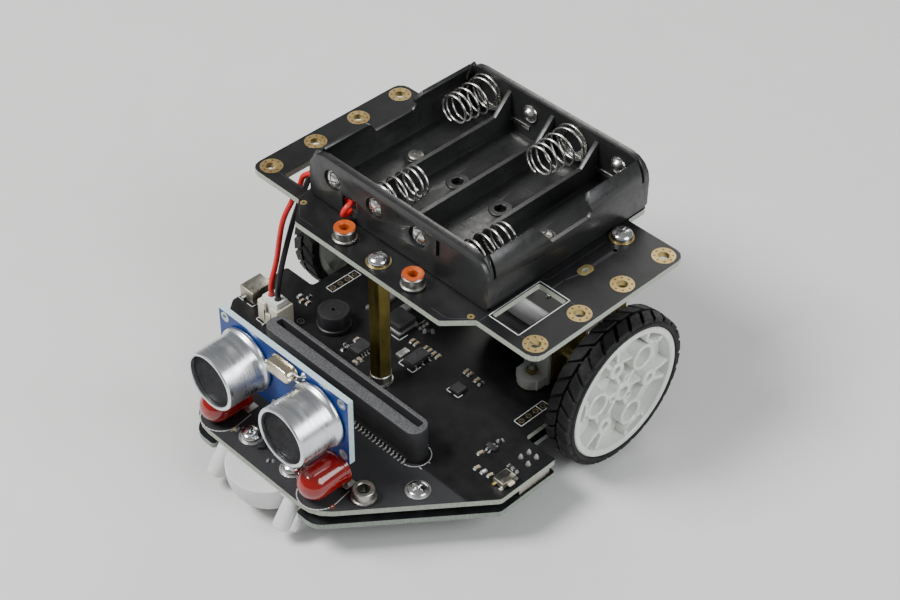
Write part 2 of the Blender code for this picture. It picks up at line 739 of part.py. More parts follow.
def make_gear_train(name, s):
    """Motor pinion, two-step idler and the output gear on its shaft."""
    def span(a, b):
        return sorted((s * a, s * b))

    mesh_x = GEARBOX_IN + 0.0012
    step_x = mesh_x + 0.0022
    pinion = tool(gear_mesh(PINION_TEETH, *span(mesh_x, mesh_x + 0.0012), math.pi / PINION_TEETH))
    join(pinion, tool(rod_mesh(0.0004, *span(GEARBOX_IN - 0.0001, mesh_x + 0.0005), "X", 10)))
    smooth(place("pinion_" + name, pinion.data, "brass", at(0, 0, AXLE_Z)), 25)
    discard(pinion)
    idler = tool(gear_mesh(GEAR_TEETH, *span(mesh_x + 0.0001, mesh_x + 0.0011), 0.0))
    small = tool(gear_mesh(PINION_TEETH, *span(mesh_x + 0.0010, step_x + 0.0018),
                           math.pi + math.pi / PINION_TEETH))
    pin = tool(rod_mesh(0.0004, *span(mesh_x - 0.0003, step_x + 0.0022), "X", 10))
    join(idler, small, pin)
    smooth(place("idler_gear_" + name, idler.data, "brass", at(0, IDLER_OFFSET, AXLE_Z)), 25)
    discard(idler)
    tip = WHEEL_OUT - 0.0022
    shaft = tool(rod_mesh(SHAFT_R, *span(step_x - 0.0004, tip), "X", 20))
    flat = box_mesh((-0.004, -0.004, SHAFT_R - 0.0005), (0.004, 0.004, 0.004))
    cut(shaft, tool(flat, (s * (tip - 0.0040 + 0.0005), 0, 0)))
    join(shaft, tool(gear_mesh(GEAR_TEETH, *span(step_x, step_x + 0.0015), 0.0)))
    smooth(place("output_shaft_" + name, shaft.data, "steel", at(0, 0, AXLE_Z)), 25)
    discard(shaft)


def make_bracket(name, s):
    """Nylon saddle over the gearbox with a screw ear in front and behind."""
    y_in, y_out = GEARBOX_Y + 0.0002, GEARBOX_Y + 0.0002 + BRACKET_WALL
    z_in = AXLE_Z + GEARBOX_Z + 0.0002
    z_out = z_in + BRACKET_WALL
    low = MAIN_TOP + GAP
    arch = rounded([(-y_out, low, 0), (-y_in, low, 0), (-y_in, z_in, 0), (y_in, z_in, 0),
                    (y_in, low, 0), (y_out, low, 0), (y_out, z_out, 0.002),
                    (-y_out, z_out, 0.002)], 3)
    x0, x1 = sorted((s * (GEARBOX_IN + 0.0003), s * (GEARBOX_OUT - 0.0003)))
    obj = place("bracket_" + name, slab_mesh([arch], x0, x1, "YZ"), "clear_nylon",
                at(0, 0, 0))
    middle = (x0 + x1) / 2
    ear_y, ear_r, ear_h = 0.0088, 0.0038, 0.0032
    for sy in (-1, 1):
        ear = tool(rod_mesh(ear_r, low, low + ear_h, segments=18), at(middle, sy * ear_y, 0))
        web = tool(box_mesh((-ear_r, -0.0022, low), (ear_r, 0.0022, low + ear_h)),
                   at(middle, sy * (y_in + 0.0022 + 0.0001), 0))
        join(obj, ear, web)
        cut(obj, tool(rod_mesh(0.0009, low - 0.001, low + ear_h * 2, segments=10),
                      at(middle, sy * ear_y, 0)))
    cut(obj, tool(box_mesh((x0 - 0.002, -y_in, low - 0.001), (x1 + 0.002, y_in, z_in)),
                  at(0, 0, 0)))
    smooth(obj)


def make_drive():
    for name, s in SIDES:
        make_wheel(name, s)
        make_tyre(name, s)
        make_motor(name, s)
        make_gearbox(name, s)
        make_gear_train(name, s)
        make_bracket(name, s)


# ---------------------------------------------------------------- caster

def caster_profile():
    """Outer wall and dome, then the ball's cup and the way out above it."""
    top = MAIN_Z - GAP
    steps = 5
    mouth = BALL_R - 0.0008
    limit = math.acos(mouth / CASTER_R)
    outside = [(CASTER_R, top)]
    outside += [(CASTER_R * math.cos(limit * i / steps),
                 CASTER_SHOULDER - CASTER_DROP * math.sin(limit * i / steps))
                for i in range(steps + 1)]
    cup = BALL_R + GAP
    low = math.asin((outside[-1][1] - BALL_R) / cup)
    high = math.radians(60)
    inside = [(cup * math.cos(low + (high - low) * i / steps),
               BALL_R + cup * math.sin(low + (high - low) * i / steps))
              for i in range(steps + 1)]
    return outside + inside + [(inside[-1][0], top)]


def make_caster():
    """Smooth moulded shell, two slanted ears and the ball that rolls in it."""
    shell = place("caster_housing", turned_mesh(caster_profile(), steps=24), "white_plastic",
                  at(0, CASTER_Y, 0))
    top = MAIN_Z - GAP
    for _, s in SIDES:
        ear = rod_mesh(EAR_R, 0, EAR_L, segments=14)
        ear.transform(Matrix.Rotation(math.radians(-EAR_TILT), 4, "X"))
        spot = at(s * EAR_X, EAR_Y, EAR_Z)
        join(shell, tool(ear, spot))
        cut(shell, tool(box_mesh((-0.006, -0.012, 0), (0.006, 0.014, 0.02)),
                        at(s * EAR_X, EAR_Y, top)),
            tool(rod_mesh(0.0013, top - 0.0060, top + 0.0020, segments=12),
                 at(s * CASTER_SCREW_X, CASTER_SCREW_Y, 0)))
    smooth(shell)
    ball = bpy.data.meshes.new("ball")
    bm = bmesh.new()
    bmesh.ops.create_uvsphere(bm, u_segments=18, v_segments=10, radius=BALL_R)
    bmesh.ops.rotate(bm, matrix=axis_turn("X").to_3x3(), verts=bm.verts)
    bm.to_mesh(ball)
    bm.free()
    smooth(place("caster_ball", ball, "steel", at(0, CASTER_Y, BALL_R)), 60)
    screw = screw_mesh(0.0027, 0.0020, 0.0070, 0.0010)
    for name, s in SIDES:
        smooth(place("caster_screw_" + name, screw, "steel",
                     at(s * CASTER_SCREW_X, CASTER_SCREW_Y, MAIN_TOP + GAP)))


# ---------------------------------------------------------------- battery holder

def holder_section():
    """Cross-section between the end walls: floor and two curved side walls."""
    z0, floor = HOLDER_Z, HOLDER_Z + HOLDER_FLOOR
    x_out = HOLDER_HALF
    centre_x, centre_z = BAYS[-1], CELL_Z
    r_in = CELL_R + 0.0002
    r_out = x_out - centre_x
    lip = math.radians(43)
    steps = 4
    outer = [(centre_x + r_out * math.cos(lip * i / steps),
              centre_z + r_out * math.sin(lip * i / steps)) for i in range(steps + 1)]
    inner = [(centre_x + r_in * math.cos(lip * i / steps),
              centre_z + r_in * math.sin(lip * i / steps)) for i in range(steps, -1, -1)]
    half = [(x_out, z0)] + outer + inner + [(centre_x + r_in, floor)]
    left = [(-x, z) for x, z in reversed(half)]
    return half + left


def end_wall(low, high):
    """Wall across the holder's end with rounded upper corners."""
    x, z0, z1 = HOLDER_HALF, HOLDER_Z, HOLDER_TOP
    outline = rounded([(-x, z0, 0.0008), (x, z0, 0.0008), (x, z1, 0.0060), (-x, z1, 0.0060)], 4)
    return tool(slab_mesh([outline], AXLE_Y + low, AXLE_Y + high, "XZ"))


def divider(x):
    """Low wall between two cells that climbs to the end walls."""
    y0, y1 = HOLDER_FRONT + HOLDER_WALL / 2, HOLDER_REAR - HOLDER_WALL / 2
    low, middle, high = HOLDER_Z + 0.0005, HOLDER_Z + 0.0068, HOLDER_TOP - 0.0008
    climb = high - middle
    outline = [(y0, low), (y1, low), (y1, high), (y1 - climb, middle), (y0 + climb, middle),
               (y0, high)]
    return tool(slab_mesh([shift_first(outline)], x - 0.0006, x + 0.0006, "YZ"))


def shift_first(points):
    return [(y + AXLE_Y, z) for y, z in points]


def make_battery_holder():
    y0, y1 = HOLDER_FRONT, HOLDER_REAR
    section = holder_section()
    low, high = AXLE_Y + y0 + HOLDER_WALL / 2, AXLE_Y + y1 - HOLDER_WALL / 2
    obj = place("battery_holder", slab_mesh([section], low, high, "XZ"), "black_plastic")
    join(obj, end_wall(y0, y0 + HOLDER_WALL), end_wall(y1 - HOLDER_WALL, y1))
    for i in range(3):
        join(obj, divider((i - 1) * CELL_PITCH))
    slit = 0.0008
    slits = ((y0 + HOLDER_WALL, y0 + HOLDER_WALL + slit), (y1 - HOLDER_WALL - slit, y1 - HOLDER_WALL))
    for _, s in SIDES:
        x0, x1 = sorted((s * (HOLDER_HALF - 0.0080), s * (HOLDER_HALF + 0.002)))
        cut(obj, tool(slab_mesh([shift_first(rounded(CLIP_GAP, 3))], x0, x1, "YZ")))
        for a, b in slits:
            cut(obj, tool(box_mesh((x0, AXLE_Y + a, CLIP_ROOT), (x1, AXLE_Y + b, HOLDER_TOP * 2))))
    for x in BAYS:
        cut(obj, tool(rod_mesh(0.0016, HOLDER_Z - 0.001, HOLDER_Z + 0.004, segments=10),
                      at(x, FLOOR_HOLE_Y, 0)))
    for x in BAYS[:3]:
        cut(obj, tool(rod_mesh(0.0030, -0.0010, 0.0008, "Y", 14), at(x, y0, CELL_Z)))
    wall_y = AXLE_Y + y0
    cut(obj, tool(box_mesh((-0.0190, wall_y - 0.001, HOLDER_Z + 0.0012),
                           (-0.0136, wall_y + 0.003, HOLDER_Z + 0.0062))),
        tool(box_mesh((0.0138, wall_y - 0.001, CELL_Z - 0.0020),
                      (0.0150, wall_y + 0.0012, CELL_Z + 0.0030))),
        tool(box_mesh((-0.0330, wall_y + 0.0020, HOLDER_Z - 0.001),
                      (-0.0285, wall_y + 0.0072, HOLDER_Z + 0.0040))),
        tool(box_mesh((-0.0290, wall_y + 0.0008, HOLDER_Z + 0.0010),
                      (-0.0136, wall_y + 0.0030, HOLDER_Z + 0.0047))))
    smooth(obj)


def spring_path(x, s):
    """Cone-shaped coil along Y; s is +1 for a spring on the front wall."""
    turns, per_turn = 5.0, 8
    wall = (HOLDER_FRONT + HOLDER_WALL) if s > 0 else (HOLDER_REAR - HOLDER_WALL)
    start = wall + s * (0.0004 + GAP)
    count = int(turns * per_turn)
    points = []
    for i in range(count + 1):
        t = i / count
        a = math.tau * turns * t
        radius = SPRING_R + (SPRING_TIP_R - SPRING_R) * t
        climb = t + 0.03 * math.sin(math.tau * t)
        points.append(at(x + radius * math.cos(a), start + s * SPRING_L * climb,
                         CELL_Z + radius * math.sin(a)))
    return points


def make_springs():
    for i, x in enumerate(BAYS):
        s = 1 if i % 2 else -1
        mesh = tube_mesh(spring_path(x, s), 0.00035, 1)
        smooth(place("battery_spring_%d" % (i + 1), mesh, "spring_steel"), 60)


# ---------------------------------------------------------------- battery lead

def make_wires():
    """The holder's two leads, from the plug up through the left window."""
    red = [(-0.03655, -0.0404, PLUG_TOP + GAP), (-0.03660, -0.0402, 0.0275),
           (-0.03690, -0.0378, 0.0335), (-0.03710, -0.0350, 0.0440), (-0.03715, -0.0315, 0.0490),
           (-0.03710, -0.0288, 0.0524), (-0.03640, -0.0279, 0.0556), (-0.03430, -0.0270, 0.0571),
           (-0.03150, -0.0267, 0.0572), (-0.02930, -0.0269, 0.0570), (-0.02720, -0.0280, 0.0568),
           (-0.02450, -0.0283, 0.0568), (-0.02050, -0.0283, 0.0574), (-0.01760, -0.0286, 0.0592),
           (-0.01590, -0.0300, 0.0601), (-0.01560, -0.0317, 0.0599), (-0.01590, -0.0327, 0.0586),
           (-0.01630, -0.0324, 0.0573), (-0.01650, -0.0310, 0.0569), (-0.01660, -0.0295, 0.0570)]
    black = [(-0.03405, -0.0404, PLUG_TOP + GAP), (-0.03420, -0.0400, 0.0275),
             (-0.03560, -0.0362, 0.0350), (-0.03700, -0.0310, 0.0440),
             (-0.03760, -0.0262, 0.0510), (-0.03700, -0.0246, 0.0550),
             (-0.03500, -0.0246, 0.0568), (-0.03250, -0.0247, 0.0572),
             (-0.03050, -0.0247, 0.0572), (-0.02860, -0.0250, 0.0573)]
    for name, route in (("battery_wire_red", red), ("battery_wire_black", black)):
        points = smooth_path([at(*p) for p in route], 2)
        mesh = tube_mesh(points, WIRE_R)
        smooth(place(name, mesh, name.split("_")[-1] + "_wire"), 60)


# ---------------------------------------------------------------- build

clear_scene()
PARTS = make_collection(NAME)
TOOLS = make_collection("cutters")
make_main_board()
make_lower_plate()
make_top_plate()
make_posts()
make_spacers()
make_plate_screws()
make_edge_connector()
make_buzzer()
make_battery_socket()
make_power_switch()
make_side_button()
make_sensor()
make_headlights()
make_drive()
make_caster()
make_battery_holder()
make_springs()
make_wires()
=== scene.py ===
"""Looks of the two wheel robot car: every visible piece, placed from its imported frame.

Metres, +Z up, the car faces -Y. at() takes Y from the wheel axle, like the car's own design.
"""
import math

import bmesh
import bpy
from mathutils import Matrix, Vector


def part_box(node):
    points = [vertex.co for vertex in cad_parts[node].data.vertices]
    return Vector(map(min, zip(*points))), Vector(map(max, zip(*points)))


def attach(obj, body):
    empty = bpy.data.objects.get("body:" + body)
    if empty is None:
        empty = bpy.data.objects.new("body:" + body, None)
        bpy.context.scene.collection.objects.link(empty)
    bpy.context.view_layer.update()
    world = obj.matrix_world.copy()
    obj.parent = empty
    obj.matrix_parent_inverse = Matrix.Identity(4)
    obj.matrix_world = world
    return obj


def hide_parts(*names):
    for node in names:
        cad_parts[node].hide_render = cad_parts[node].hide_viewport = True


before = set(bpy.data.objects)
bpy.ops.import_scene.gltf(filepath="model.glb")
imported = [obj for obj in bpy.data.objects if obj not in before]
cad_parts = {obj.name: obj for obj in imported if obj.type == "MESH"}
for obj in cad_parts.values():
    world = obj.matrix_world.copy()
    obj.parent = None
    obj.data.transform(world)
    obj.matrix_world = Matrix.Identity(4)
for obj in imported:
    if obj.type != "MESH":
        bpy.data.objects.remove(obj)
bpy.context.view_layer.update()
BODY = "chassis"
SIDES = (("left", -1), ("right", 1))
MM = 0.001
CAMERA = {"lens": 76.78, "azimuth": 44.986, "elevation": 41.579, "roll": 0.678,
          "target": (0.00241, 0.01469, 0.03014), "distance": 0.48723}


def low(node):
    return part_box(node)[0]


def high(node):
    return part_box(node)[1]


def middle(node):
    return (low(node) + high(node)) / 2


AXLE_Y, AXLE_Z = middle("tyre_right").y, middle("tyre_right").z
MAIN_TOP = high("main_board").z
DECK_TOP = high("top_plate").z


def at(x, y, z):
    """A point in the frame, with Y counted from the axle."""
    return Vector((x, y + AXLE_Y, z))


def move(x, y, z):
    """A shift to a point given from the axle."""
    return Matrix.Translation(at(x, y, z))


def turned(degrees, axis="Z"):
    return Matrix.Rotation(math.radians(degrees), 4, axis)


# ---------------------------------------------------------------- camera, lights, floor

def make_camera():
    a, e, r = (math.radians(CAMERA[k]) for k in ("azimuth", "elevation", "roll"))
    back = Vector((math.sin(a) * math.cos(e), -math.cos(a) * math.cos(e), math.sin(e)))
    right = Vector((math.cos(a), math.sin(a), 0))
    up = back.cross(right)
    tilted = right * math.cos(r) + up * math.sin(r)
    turn = Matrix((tilted, back.cross(tilted), back)).transposed().to_4x4()
    data = bpy.data.cameras.new("camera")
    data.lens, data.sensor_width = CAMERA["lens"], 36
    camera = bpy.data.objects.new("camera", data)
    spot = Vector(CAMERA["target"]) + back * CAMERA["distance"]
    camera.matrix_world = Matrix.Translation(spot) @ turn
    bpy.context.scene.collection.objects.link(camera)
    bpy.context.scene.camera = camera


def make_light(name, spot, size, watts, colour=(1, 1, 1)):
    data = bpy.data.lights.new(name, "AREA")
    data.shape, data.size, data.energy, data.color = "DISK", size, watts, colour
    light = bpy.data.objects.new(name, data)
    aim = Vector((0, 0, 0.03)) - Vector(spot)
    light.matrix_world = Matrix.Translation(spot) @ aim.to_track_quat("-Z", "Y").to_matrix().to_4x4()
    bpy.context.scene.collection.objects.link(light)


def make_studio():
    make_light("key", (-0.30, -0.42, 0.72), 0.34, 10.0)
    make_light("fill", (0.62, 0.10, 0.46), 0.50, 4.2, (0.96, 0.98, 1.0))
    make_light("back", (-0.30, 0.62, 0.40), 0.40, 2.0, (1.0, 0.98, 0.95))
    world = bpy.data.worlds.new("studio")
    world.use_nodes = True
    world.node_tree.nodes["Background"].inputs["Color"].default_value = (0.80, 0.81, 0.82, 1)
    world.node_tree.nodes["Background"].inputs["Strength"].default_value = 0.30
    bpy.context.scene.world = world
    look = Look("floor", 0.75)
    look.colour(look.mix(look.noise(60, 3), (0.66, 0.66, 0.65), (0.70, 0.70, 0.69)))
    look.bump(look.noise(900, 2), 0.00005)
    bm = bmesh.new()
    bmesh.ops.create_grid(bm, x_segments=1, y_segments=1, size=6.0)
    mesh = bpy.data.meshes.new("floor")
    bm.to_mesh(mesh)
    bm.free()
    mesh.materials.append(look.material)
    floor = bpy.data.objects.new("floor", mesh)
    bpy.context.scene.collection.objects.link(floor)


# ---------------------------------------------------------------- materials

class Look:
    """A node material whose patterns, in the object's own metres, feed one Principled shader."""

    def __init__(self, name, roughness=0.5, metallic=0.0, **fixed):
        self.material = bpy.data.materials.new(name)
        self.material.use_nodes = True
        self.tree = self.material.node_tree
        self.shader = self.tree.nodes["Principled BSDF"]
        self.shader.inputs["Roughness"].default_value = roughness
        self.shader.inputs["Metallic"].default_value = metallic
        for socket, value in fixed.items():
            self.shader.inputs[socket.replace("_", " ")].default_value = value
        self.space = self.node("ShaderNodeTexCoord").outputs

    def node(self, kind, inputs=(), **settings):
        node = self.tree.nodes.new(kind)
        for key, value in settings.items():
            setattr(node, key, value)
        for socket, value in dict(inputs).items():
            self.feed(node.inputs[socket], value)
        return node

    def feed(self, socket, value):
        if isinstance(value, bpy.types.NodeSocket):
            self.tree.links.new(value, socket)
        elif isinstance(value, tuple) and len(value) == 3 and socket.type == "RGBA":
            socket.default_value = (*value, 1)
        else:
            socket.default_value = value

    def maths(self, operation, a, b=0.0):
        return self.node("ShaderNodeMath", {0: a, 1: b}, operation=operation).outputs[0]

    def axis(self, index, output="Object"):
        split = self.node("ShaderNodeSeparateXYZ", {0: self.space[output]})
        return split.outputs[index]

    def noise(self, scale, detail=2.0, stretch=(1, 1, 1)):
        mapped = self.node("ShaderNodeMapping", {"Vector": self.space["Object"], "Scale": stretch})
        node = self.node("ShaderNodeTexNoise", {"Vector": mapped.outputs[0], "Scale": scale,
                                                "Detail": detail})
        return node.outputs["Fac"]

    def span(self, value, start, end, to_start=0.0, to_end=1.0):
        node = self.node("ShaderNodeMapRange", {"Value": value, "From Min": start, "From Max": end,
                                                "To Min": to_start, "To Max": to_end})
        return node.outputs[0]

    def mix(self, factor, a, b):
        node = self.node("ShaderNodeMix", data_type="RGBA")
        self.feed(node.inputs[0], factor)
        self.feed(node.inputs[6], a)
        self.feed(node.inputs[7], b)
        return node.outputs[2]

    def colour(self, value):
        self.feed(self.shader.inputs["Base Color"], value)

    def roughness(self, value):
        self.feed(self.shader.inputs["Roughness"], value)

    def bump(self, value, depth):
        node = self.node("ShaderNodeBump", {"Height": value, "Distance": depth, "Strength": 1.0})
        self.tree.links.new(node.outputs[0], self.shader.inputs["Normal"])


def grained(name, dark, light, rough, metallic=0.0, scale=700, depth=0.00002,
            stretch=(1, 1, 1), **fixed):
    """Cast, moulded or brushed stuff: noise moves its colour, gloss and surface a little."""
    look = Look(name, rough[0], metallic, **fixed)
    broad = look.span(look.noise(scale * 0.12, 3, stretch), 0.35, 0.65)
    fine = look.noise(scale, 4, stretch)
    look.colour(look.mix(broad, dark, light))
    look.roughness(look.span(fine, 0.3, 0.7, *rough))
    look.bump(fine, depth)
    return look.material


def lines(look, coordinate, pitch, share):
    """Soft stripes across a coordinate, 1 on a stripe and 0 between."""
    wave = look.maths("SINE", look.maths("MULTIPLY", coordinate, math.tau / pitch))
    edge = math.cos(math.pi * share)
    return look.span(wave, edge - 0.25, edge + 0.25)


def board_look(name, face, sheen, edge, rough, hatch_front=None, thin=2):
    """Solder mask on the faces, bare glass fibre on the cut edges, hatched copper below; on the smoke plate
    the pale cut-edge colour is a painted edge highlight.
    """
    look = Look(name, rough[0], Specular_IOR_Level=0.28)
    tilt = look.maths("ABSOLUTE", look.axis(thin, "Normal"))
    rim = look.maths("LESS_THAN", tilt, 0.6)
    cloud = look.noise(260, 3)
    fibre = look.noise(2600, 2, (1, 1, 0.25))
    top = look.mix(look.span(cloud, 0.35, 0.65), face, sheen)
    height = look.noise(3200, 2)
    if hatch_front is not None:
        x, y = look.axis(0), look.axis(1)
        pitch = 0.00052
        across = lines(look, look.maths("ADD", x, y), pitch * math.sqrt(2), 0.5)
        along = lines(look, look.maths("SUBTRACT", x, y), pitch * math.sqrt(2), 0.5)
        grid = look.maths("MAXIMUM", across, along)
        zone = look.span(y, hatch_front, hatch_front + 0.0008, 1.0, 0.0)
        grid = look.maths("MULTIPLY", grid, zone)
        top = look.mix(look.maths("MULTIPLY", grid, 0.60), top, (0.058, 0.058, 0.062))
        height = look.maths("ADD", look.maths("MULTIPLY", height, 0.25), grid)
    cut = look.mix(look.span(fibre, 0.3, 0.7), edge, tuple(c * 0.72 for c in edge))
    look.colour(look.mix(rim, top, cut))
    look.roughness(look.span(height, 0.0, 1.2, *rough))
    look.bump(height, 0.000025)
    return look.material


def tyre_look():
    look = Look("tyre_rubber", 0.7, Specular_IOR_Level=0.35)
    dust = look.span(look.noise(420, 5), 0.45, 0.75)
    look.colour(look.mix(dust, (0.0055, 0.0055, 0.006), (0.015, 0.0145, 0.014)))
    look.roughness(look.span(look.noise(1500, 3), 0.3, 0.7, 0.50, 0.78))
    look.bump(look.noise(2600, 4), 0.00005)
    return look.material


def lens_look():
    look = Look("red_lens", 0.12, IOR=1.5, Transmission_Weight=0.35, Coat_Weight=0.7,
                Coat_Roughness=0.05)
    look.colour(look.mix(look.noise(180, 2), (0.26, 0.004, 0.003), (0.42, 0.008, 0.005)))
    look.roughness(look.span(look.noise(900, 2), 0.3, 0.7, 0.08, 0.16))
    look.bump(look.noise(350, 2), 0.00002)
    return look.material


def speckled_look():
    """Black moulding with a painted sheen: its upward faces are painted pale grey, broken by coarse grain.
    """
    look = Look("plastic_painted_top_sheen", 0.6)
    # painted highlight: faces whose normal points up are mixed towards pale grey
    up = look.span(look.axis(2, "Normal"), 0.6, 0.9)
    grain = look.noise(3300, 3)
    painted_top_sheen = look.mix(look.span(grain, 0.35, 0.68), (0.026, 0.026, 0.029), (0.135, 0.135, 0.142))
    side = look.mix(look.noise(500, 3), (0.012, 0.012, 0.013), (0.024, 0.024, 0.026))
    look.colour(look.mix(up, side, painted_top_sheen))
    look.roughness(look.span(grain, 0.3, 0.7, 0.48, 0.75))
    look.bump(grain, 0.00006)
    return look.material


def can_look():
    """Drawn aluminium with fine lines round its Y axis and a few dull patches."""
    look = Look("drawn_aluminium", 0.25, 1.0, Anisotropic=0.4)
    rings = look.noise(900, 3, (0.12, 1, 0.12))
    dull = look.span(look.noise(180, 4), 0.4, 0.75)
    look.colour(look.mix(dull, (0.80, 0.82, 0.84), (0.62, 0.64, 0.67)))
    look.roughness(look.span(rings, 0.3, 0.7, 0.22, 0.36))
    look.bump(rings, 0.00001)
    return look.material


def brass_look():
    """Olive brass bar with long draw marks and patches of darker tarnish."""
    look = Look("drawn_brass", 0.35, 1.0)
    marks = look.noise(1400, 4, (1, 1, 0.08))
    tarnish = look.span(look.noise(150, 4), 0.35, 0.7)
    look.colour(look.mix(tarnish, (0.36, 0.28, 0.075), (0.21, 0.165, 0.045)))
    look.roughness(look.span(marks, 0.3, 0.7, 0.26, 0.46))
    look.bump(marks, 0.000012)
    return look.material


def make_looks():
    black = ((0.0085, 0.0085, 0.009), (0.017, 0.017, 0.018))
    return {
        "board": board_look("black_board", (0.0075, 0.0075, 0.008), (0.013, 0.013, 0.014),
                            (0.36, 0.40, 0.33), (0.36, 0.62), AXLE_Y - 0.0500),
        "deck": board_look("black_deck", (0.0075, 0.0075, 0.0080), (0.012, 0.012, 0.013),
                           (0.40, 0.43, 0.36), (0.30, 0.46)),
        # the smoke plate is acrylic: its pale cut-edge colour is a painted edge highlight
        "smoke": board_look("smoke_plate", (0.012, 0.012, 0.013), (0.022, 0.023, 0.024),
                            (0.24, 0.28, 0.24), (0.16, 0.34)),
        "blue": board_look("blue_board", (0.006, 0.028, 0.150), (0.010, 0.045, 0.210),
                           (0.52, 0.66, 0.70), (0.22, 0.40), thin=1),
        "black": grained("black_plastic", *black, (0.36, 0.55), scale=1100),
        "holder": grained("moulded_black", (0.0090, 0.0092, 0.0092), (0.0170, 0.0178, 0.0175),
                          (0.26, 0.46), scale=650, depth=0.00003, Coat_Weight=0.18,
                          Coat_Roughness=0.3),
        "buzzer": grained("satin_black", (0.010, 0.010, 0.011), (0.018, 0.018, 0.020),
                          (0.42, 0.56), scale=2400),
        "ivory": grained("ivory_nylon", (0.56, 0.52, 0.40), (0.68, 0.65, 0.53), (0.38, 0.55),
                         scale=900, Subsurface_Weight=0.15, Subsurface_Scale=0.001),
        "white": grained("white_moulding", (0.66, 0.68, 0.64), (0.74, 0.76, 0.72), (0.22, 0.36),
                         scale=420, Coat_Weight=0.25, Coat_Roughness=0.15),
        "matt_white": grained("matt_white", (0.62, 0.62, 0.62), (0.70, 0.70, 0.69), (0.42, 0.58),
                              scale=1300, depth=0.00003, Subsurface_Weight=0.10,
                              Subsurface_Scale=0.001),
        "nylon": grained("milky_nylon", (0.50, 0.53, 0.50), (0.64, 0.66, 0.62), (0.32, 0.48),
                         scale=500, Transmission_Weight=0.25, Subsurface_Weight=0.3,
                         Subsurface_Scale=0.002),
        "orange": grained("orange_cap", (0.36, 0.048, 0.002), (0.48, 0.080, 0.004), (0.22, 0.38),
                          scale=900, Coat_Weight=0.4, Coat_Roughness=0.15),
        "nickel": grained("nickel", (0.62, 0.61, 0.58), (0.74, 0.73, 0.70), (0.20, 0.36), 1.0,
                          scale=1500),
        "turned": grained("turned_steel", (0.32, 0.31, 0.28), (0.48, 0.47, 0.43), (0.26, 0.46),
                          1.0, scale=1600),
        # the motor cans are silver; this dark grey is painted shade for where they sit inside the chassis
        "motor": grained("motor_can_painted_shade", (0.15, 0.15, 0.155), (0.25, 0.25, 0.255), (0.34, 0.50), 1.0,
                         scale=1300, stretch=(0.15, 1, 1)),
        "chrome": grained("bright_zinc", (0.74, 0.74, 0.74), (0.84, 0.84, 0.83), (0.10, 0.22), 1.0,
                          scale=1200, depth=0.00001),
        "tin": grained("tinned_sheet", (0.36, 0.34, 0.28), (0.50, 0.48, 0.40), (0.26, 0.44), 1.0,
                       scale=900),
        "crystal": grained("gilded_can", (0.70, 0.62, 0.46), (0.86, 0.80, 0.66), (0.14, 0.28), 1.0,
                           scale=800),
        "solder": grained("solder", (0.46, 0.46, 0.44), (0.64, 0.64, 0.62), (0.34, 0.52), 0.9,
                          scale=2600, depth=0.00004),
        "gold": grained("gold_pad", (0.42, 0.32, 0.13), (0.58, 0.46, 0.21), (0.34, 0.52), 1.0,
                        scale=1800),
        "copper": grained("copper_via", (0.15, 0.030, 0.008), (0.24, 0.055, 0.015), (0.35, 0.5), 0.0,
                          scale=1800),
        "ink": grained("white_ink", (0.55, 0.56, 0.55), (0.72, 0.73, 0.72), (0.55, 0.75),
                       scale=3000),
        "trace": grained("trace", (0.022, 0.022, 0.024), (0.034, 0.034, 0.037), (0.30, 0.45),
                         scale=1500),
        "ceramic": grained("tan_ceramic", (0.30, 0.21, 0.11), (0.44, 0.33, 0.19), (0.4, 0.55),
                           scale=2500),
        "chip": grained("chip_epoxy", (0.014, 0.014, 0.015), (0.030, 0.030, 0.033), (0.5, 0.72),
                        scale=4200, depth=0.00004),
        "red_wire": grained("red_insulation", (0.52, 0.010, 0.010), (0.68, 0.022, 0.018),
                            (0.30, 0.44), scale=800, Coat_Weight=0.2, Coat_Roughness=0.3),
        "black_wire": grained("black_insulation", *black, (0.30, 0.44), scale=800),
        "mesh": grained("dark_mesh", (0.010, 0.010, 0.011), (0.030, 0.030, 0.033), (0.45, 0.65),
                        0.3, scale=3000),
        "tyre": tyre_look(), "lens": lens_look(), "speckled": speckled_look(),
        "can": can_look(), "brass": brass_look(),
    }


# ---------------------------------------------------------------- shapes

def mesh_of(bm):
    mesh = bpy.data.meshes.new("shape")
    bm.to_mesh(mesh)
    bm.free()
    return mesh


def axis_turn(axis):
    """Rotation that carries +Z onto the named axis."""
    turns = {"X": (90, "Y"), "-X": (-90, "Y"), "Y": (-90, "X"), "-Y": (90, "X")}
    if axis not in turns:
        return Matrix()
    degrees, about = turns[axis]
    return turned(degrees, about)


def shift(x, y, z):
    return Matrix.Translation((x, y, z))


def box_mesh(first, last, bevel=0.0, segments=2):
    bm = bmesh.new()
    first, last = Vector(first), Vector(last)
    bmesh.ops.create_cube(bm, size=1.0)
    bmesh.ops.scale(bm, vec=last - first, verts=bm.verts)
    bmesh.ops.translate(bm, vec=(first + last) / 2, verts=bm.verts)
    if bevel:
        bmesh.ops.bevel(bm, geom=bm.edges[:], offset=bevel, segments=segments, profile=0.5,
                        affect="EDGES")
    return mesh_of(bm)


def lathe_mesh(profile, axis="Z", steps=40):
    """Spin (radius, height) points about an axis; off-axis ends make a closed ring."""
    bm = bmesh.new()
    verts = [bm.verts.new((r, 0, h)) for r, h in profile]
    pairs = list(zip(verts, verts[1:]))
    if profile[0][0] > 0 or profile[-1][0] > 0:
        pairs.append((verts[-1], verts[0]))
    edges = [bm.edges.new(pair) for pair in pairs]
    bmesh.ops.spin(bm, geom=verts + edges, cent=(0, 0, 0), axis=(0, 0, 1), angle=math.tau,
                   steps=steps, use_merge=True)
    bmesh.ops.remove_doubles(bm, verts=bm.verts, dist=1e-7)
    bmesh.ops.recalc_face_normals(bm, faces=bm.faces)
    bmesh.ops.transform(bm, matrix=axis_turn(axis), verts=bm.verts)
    return mesh_of(bm)


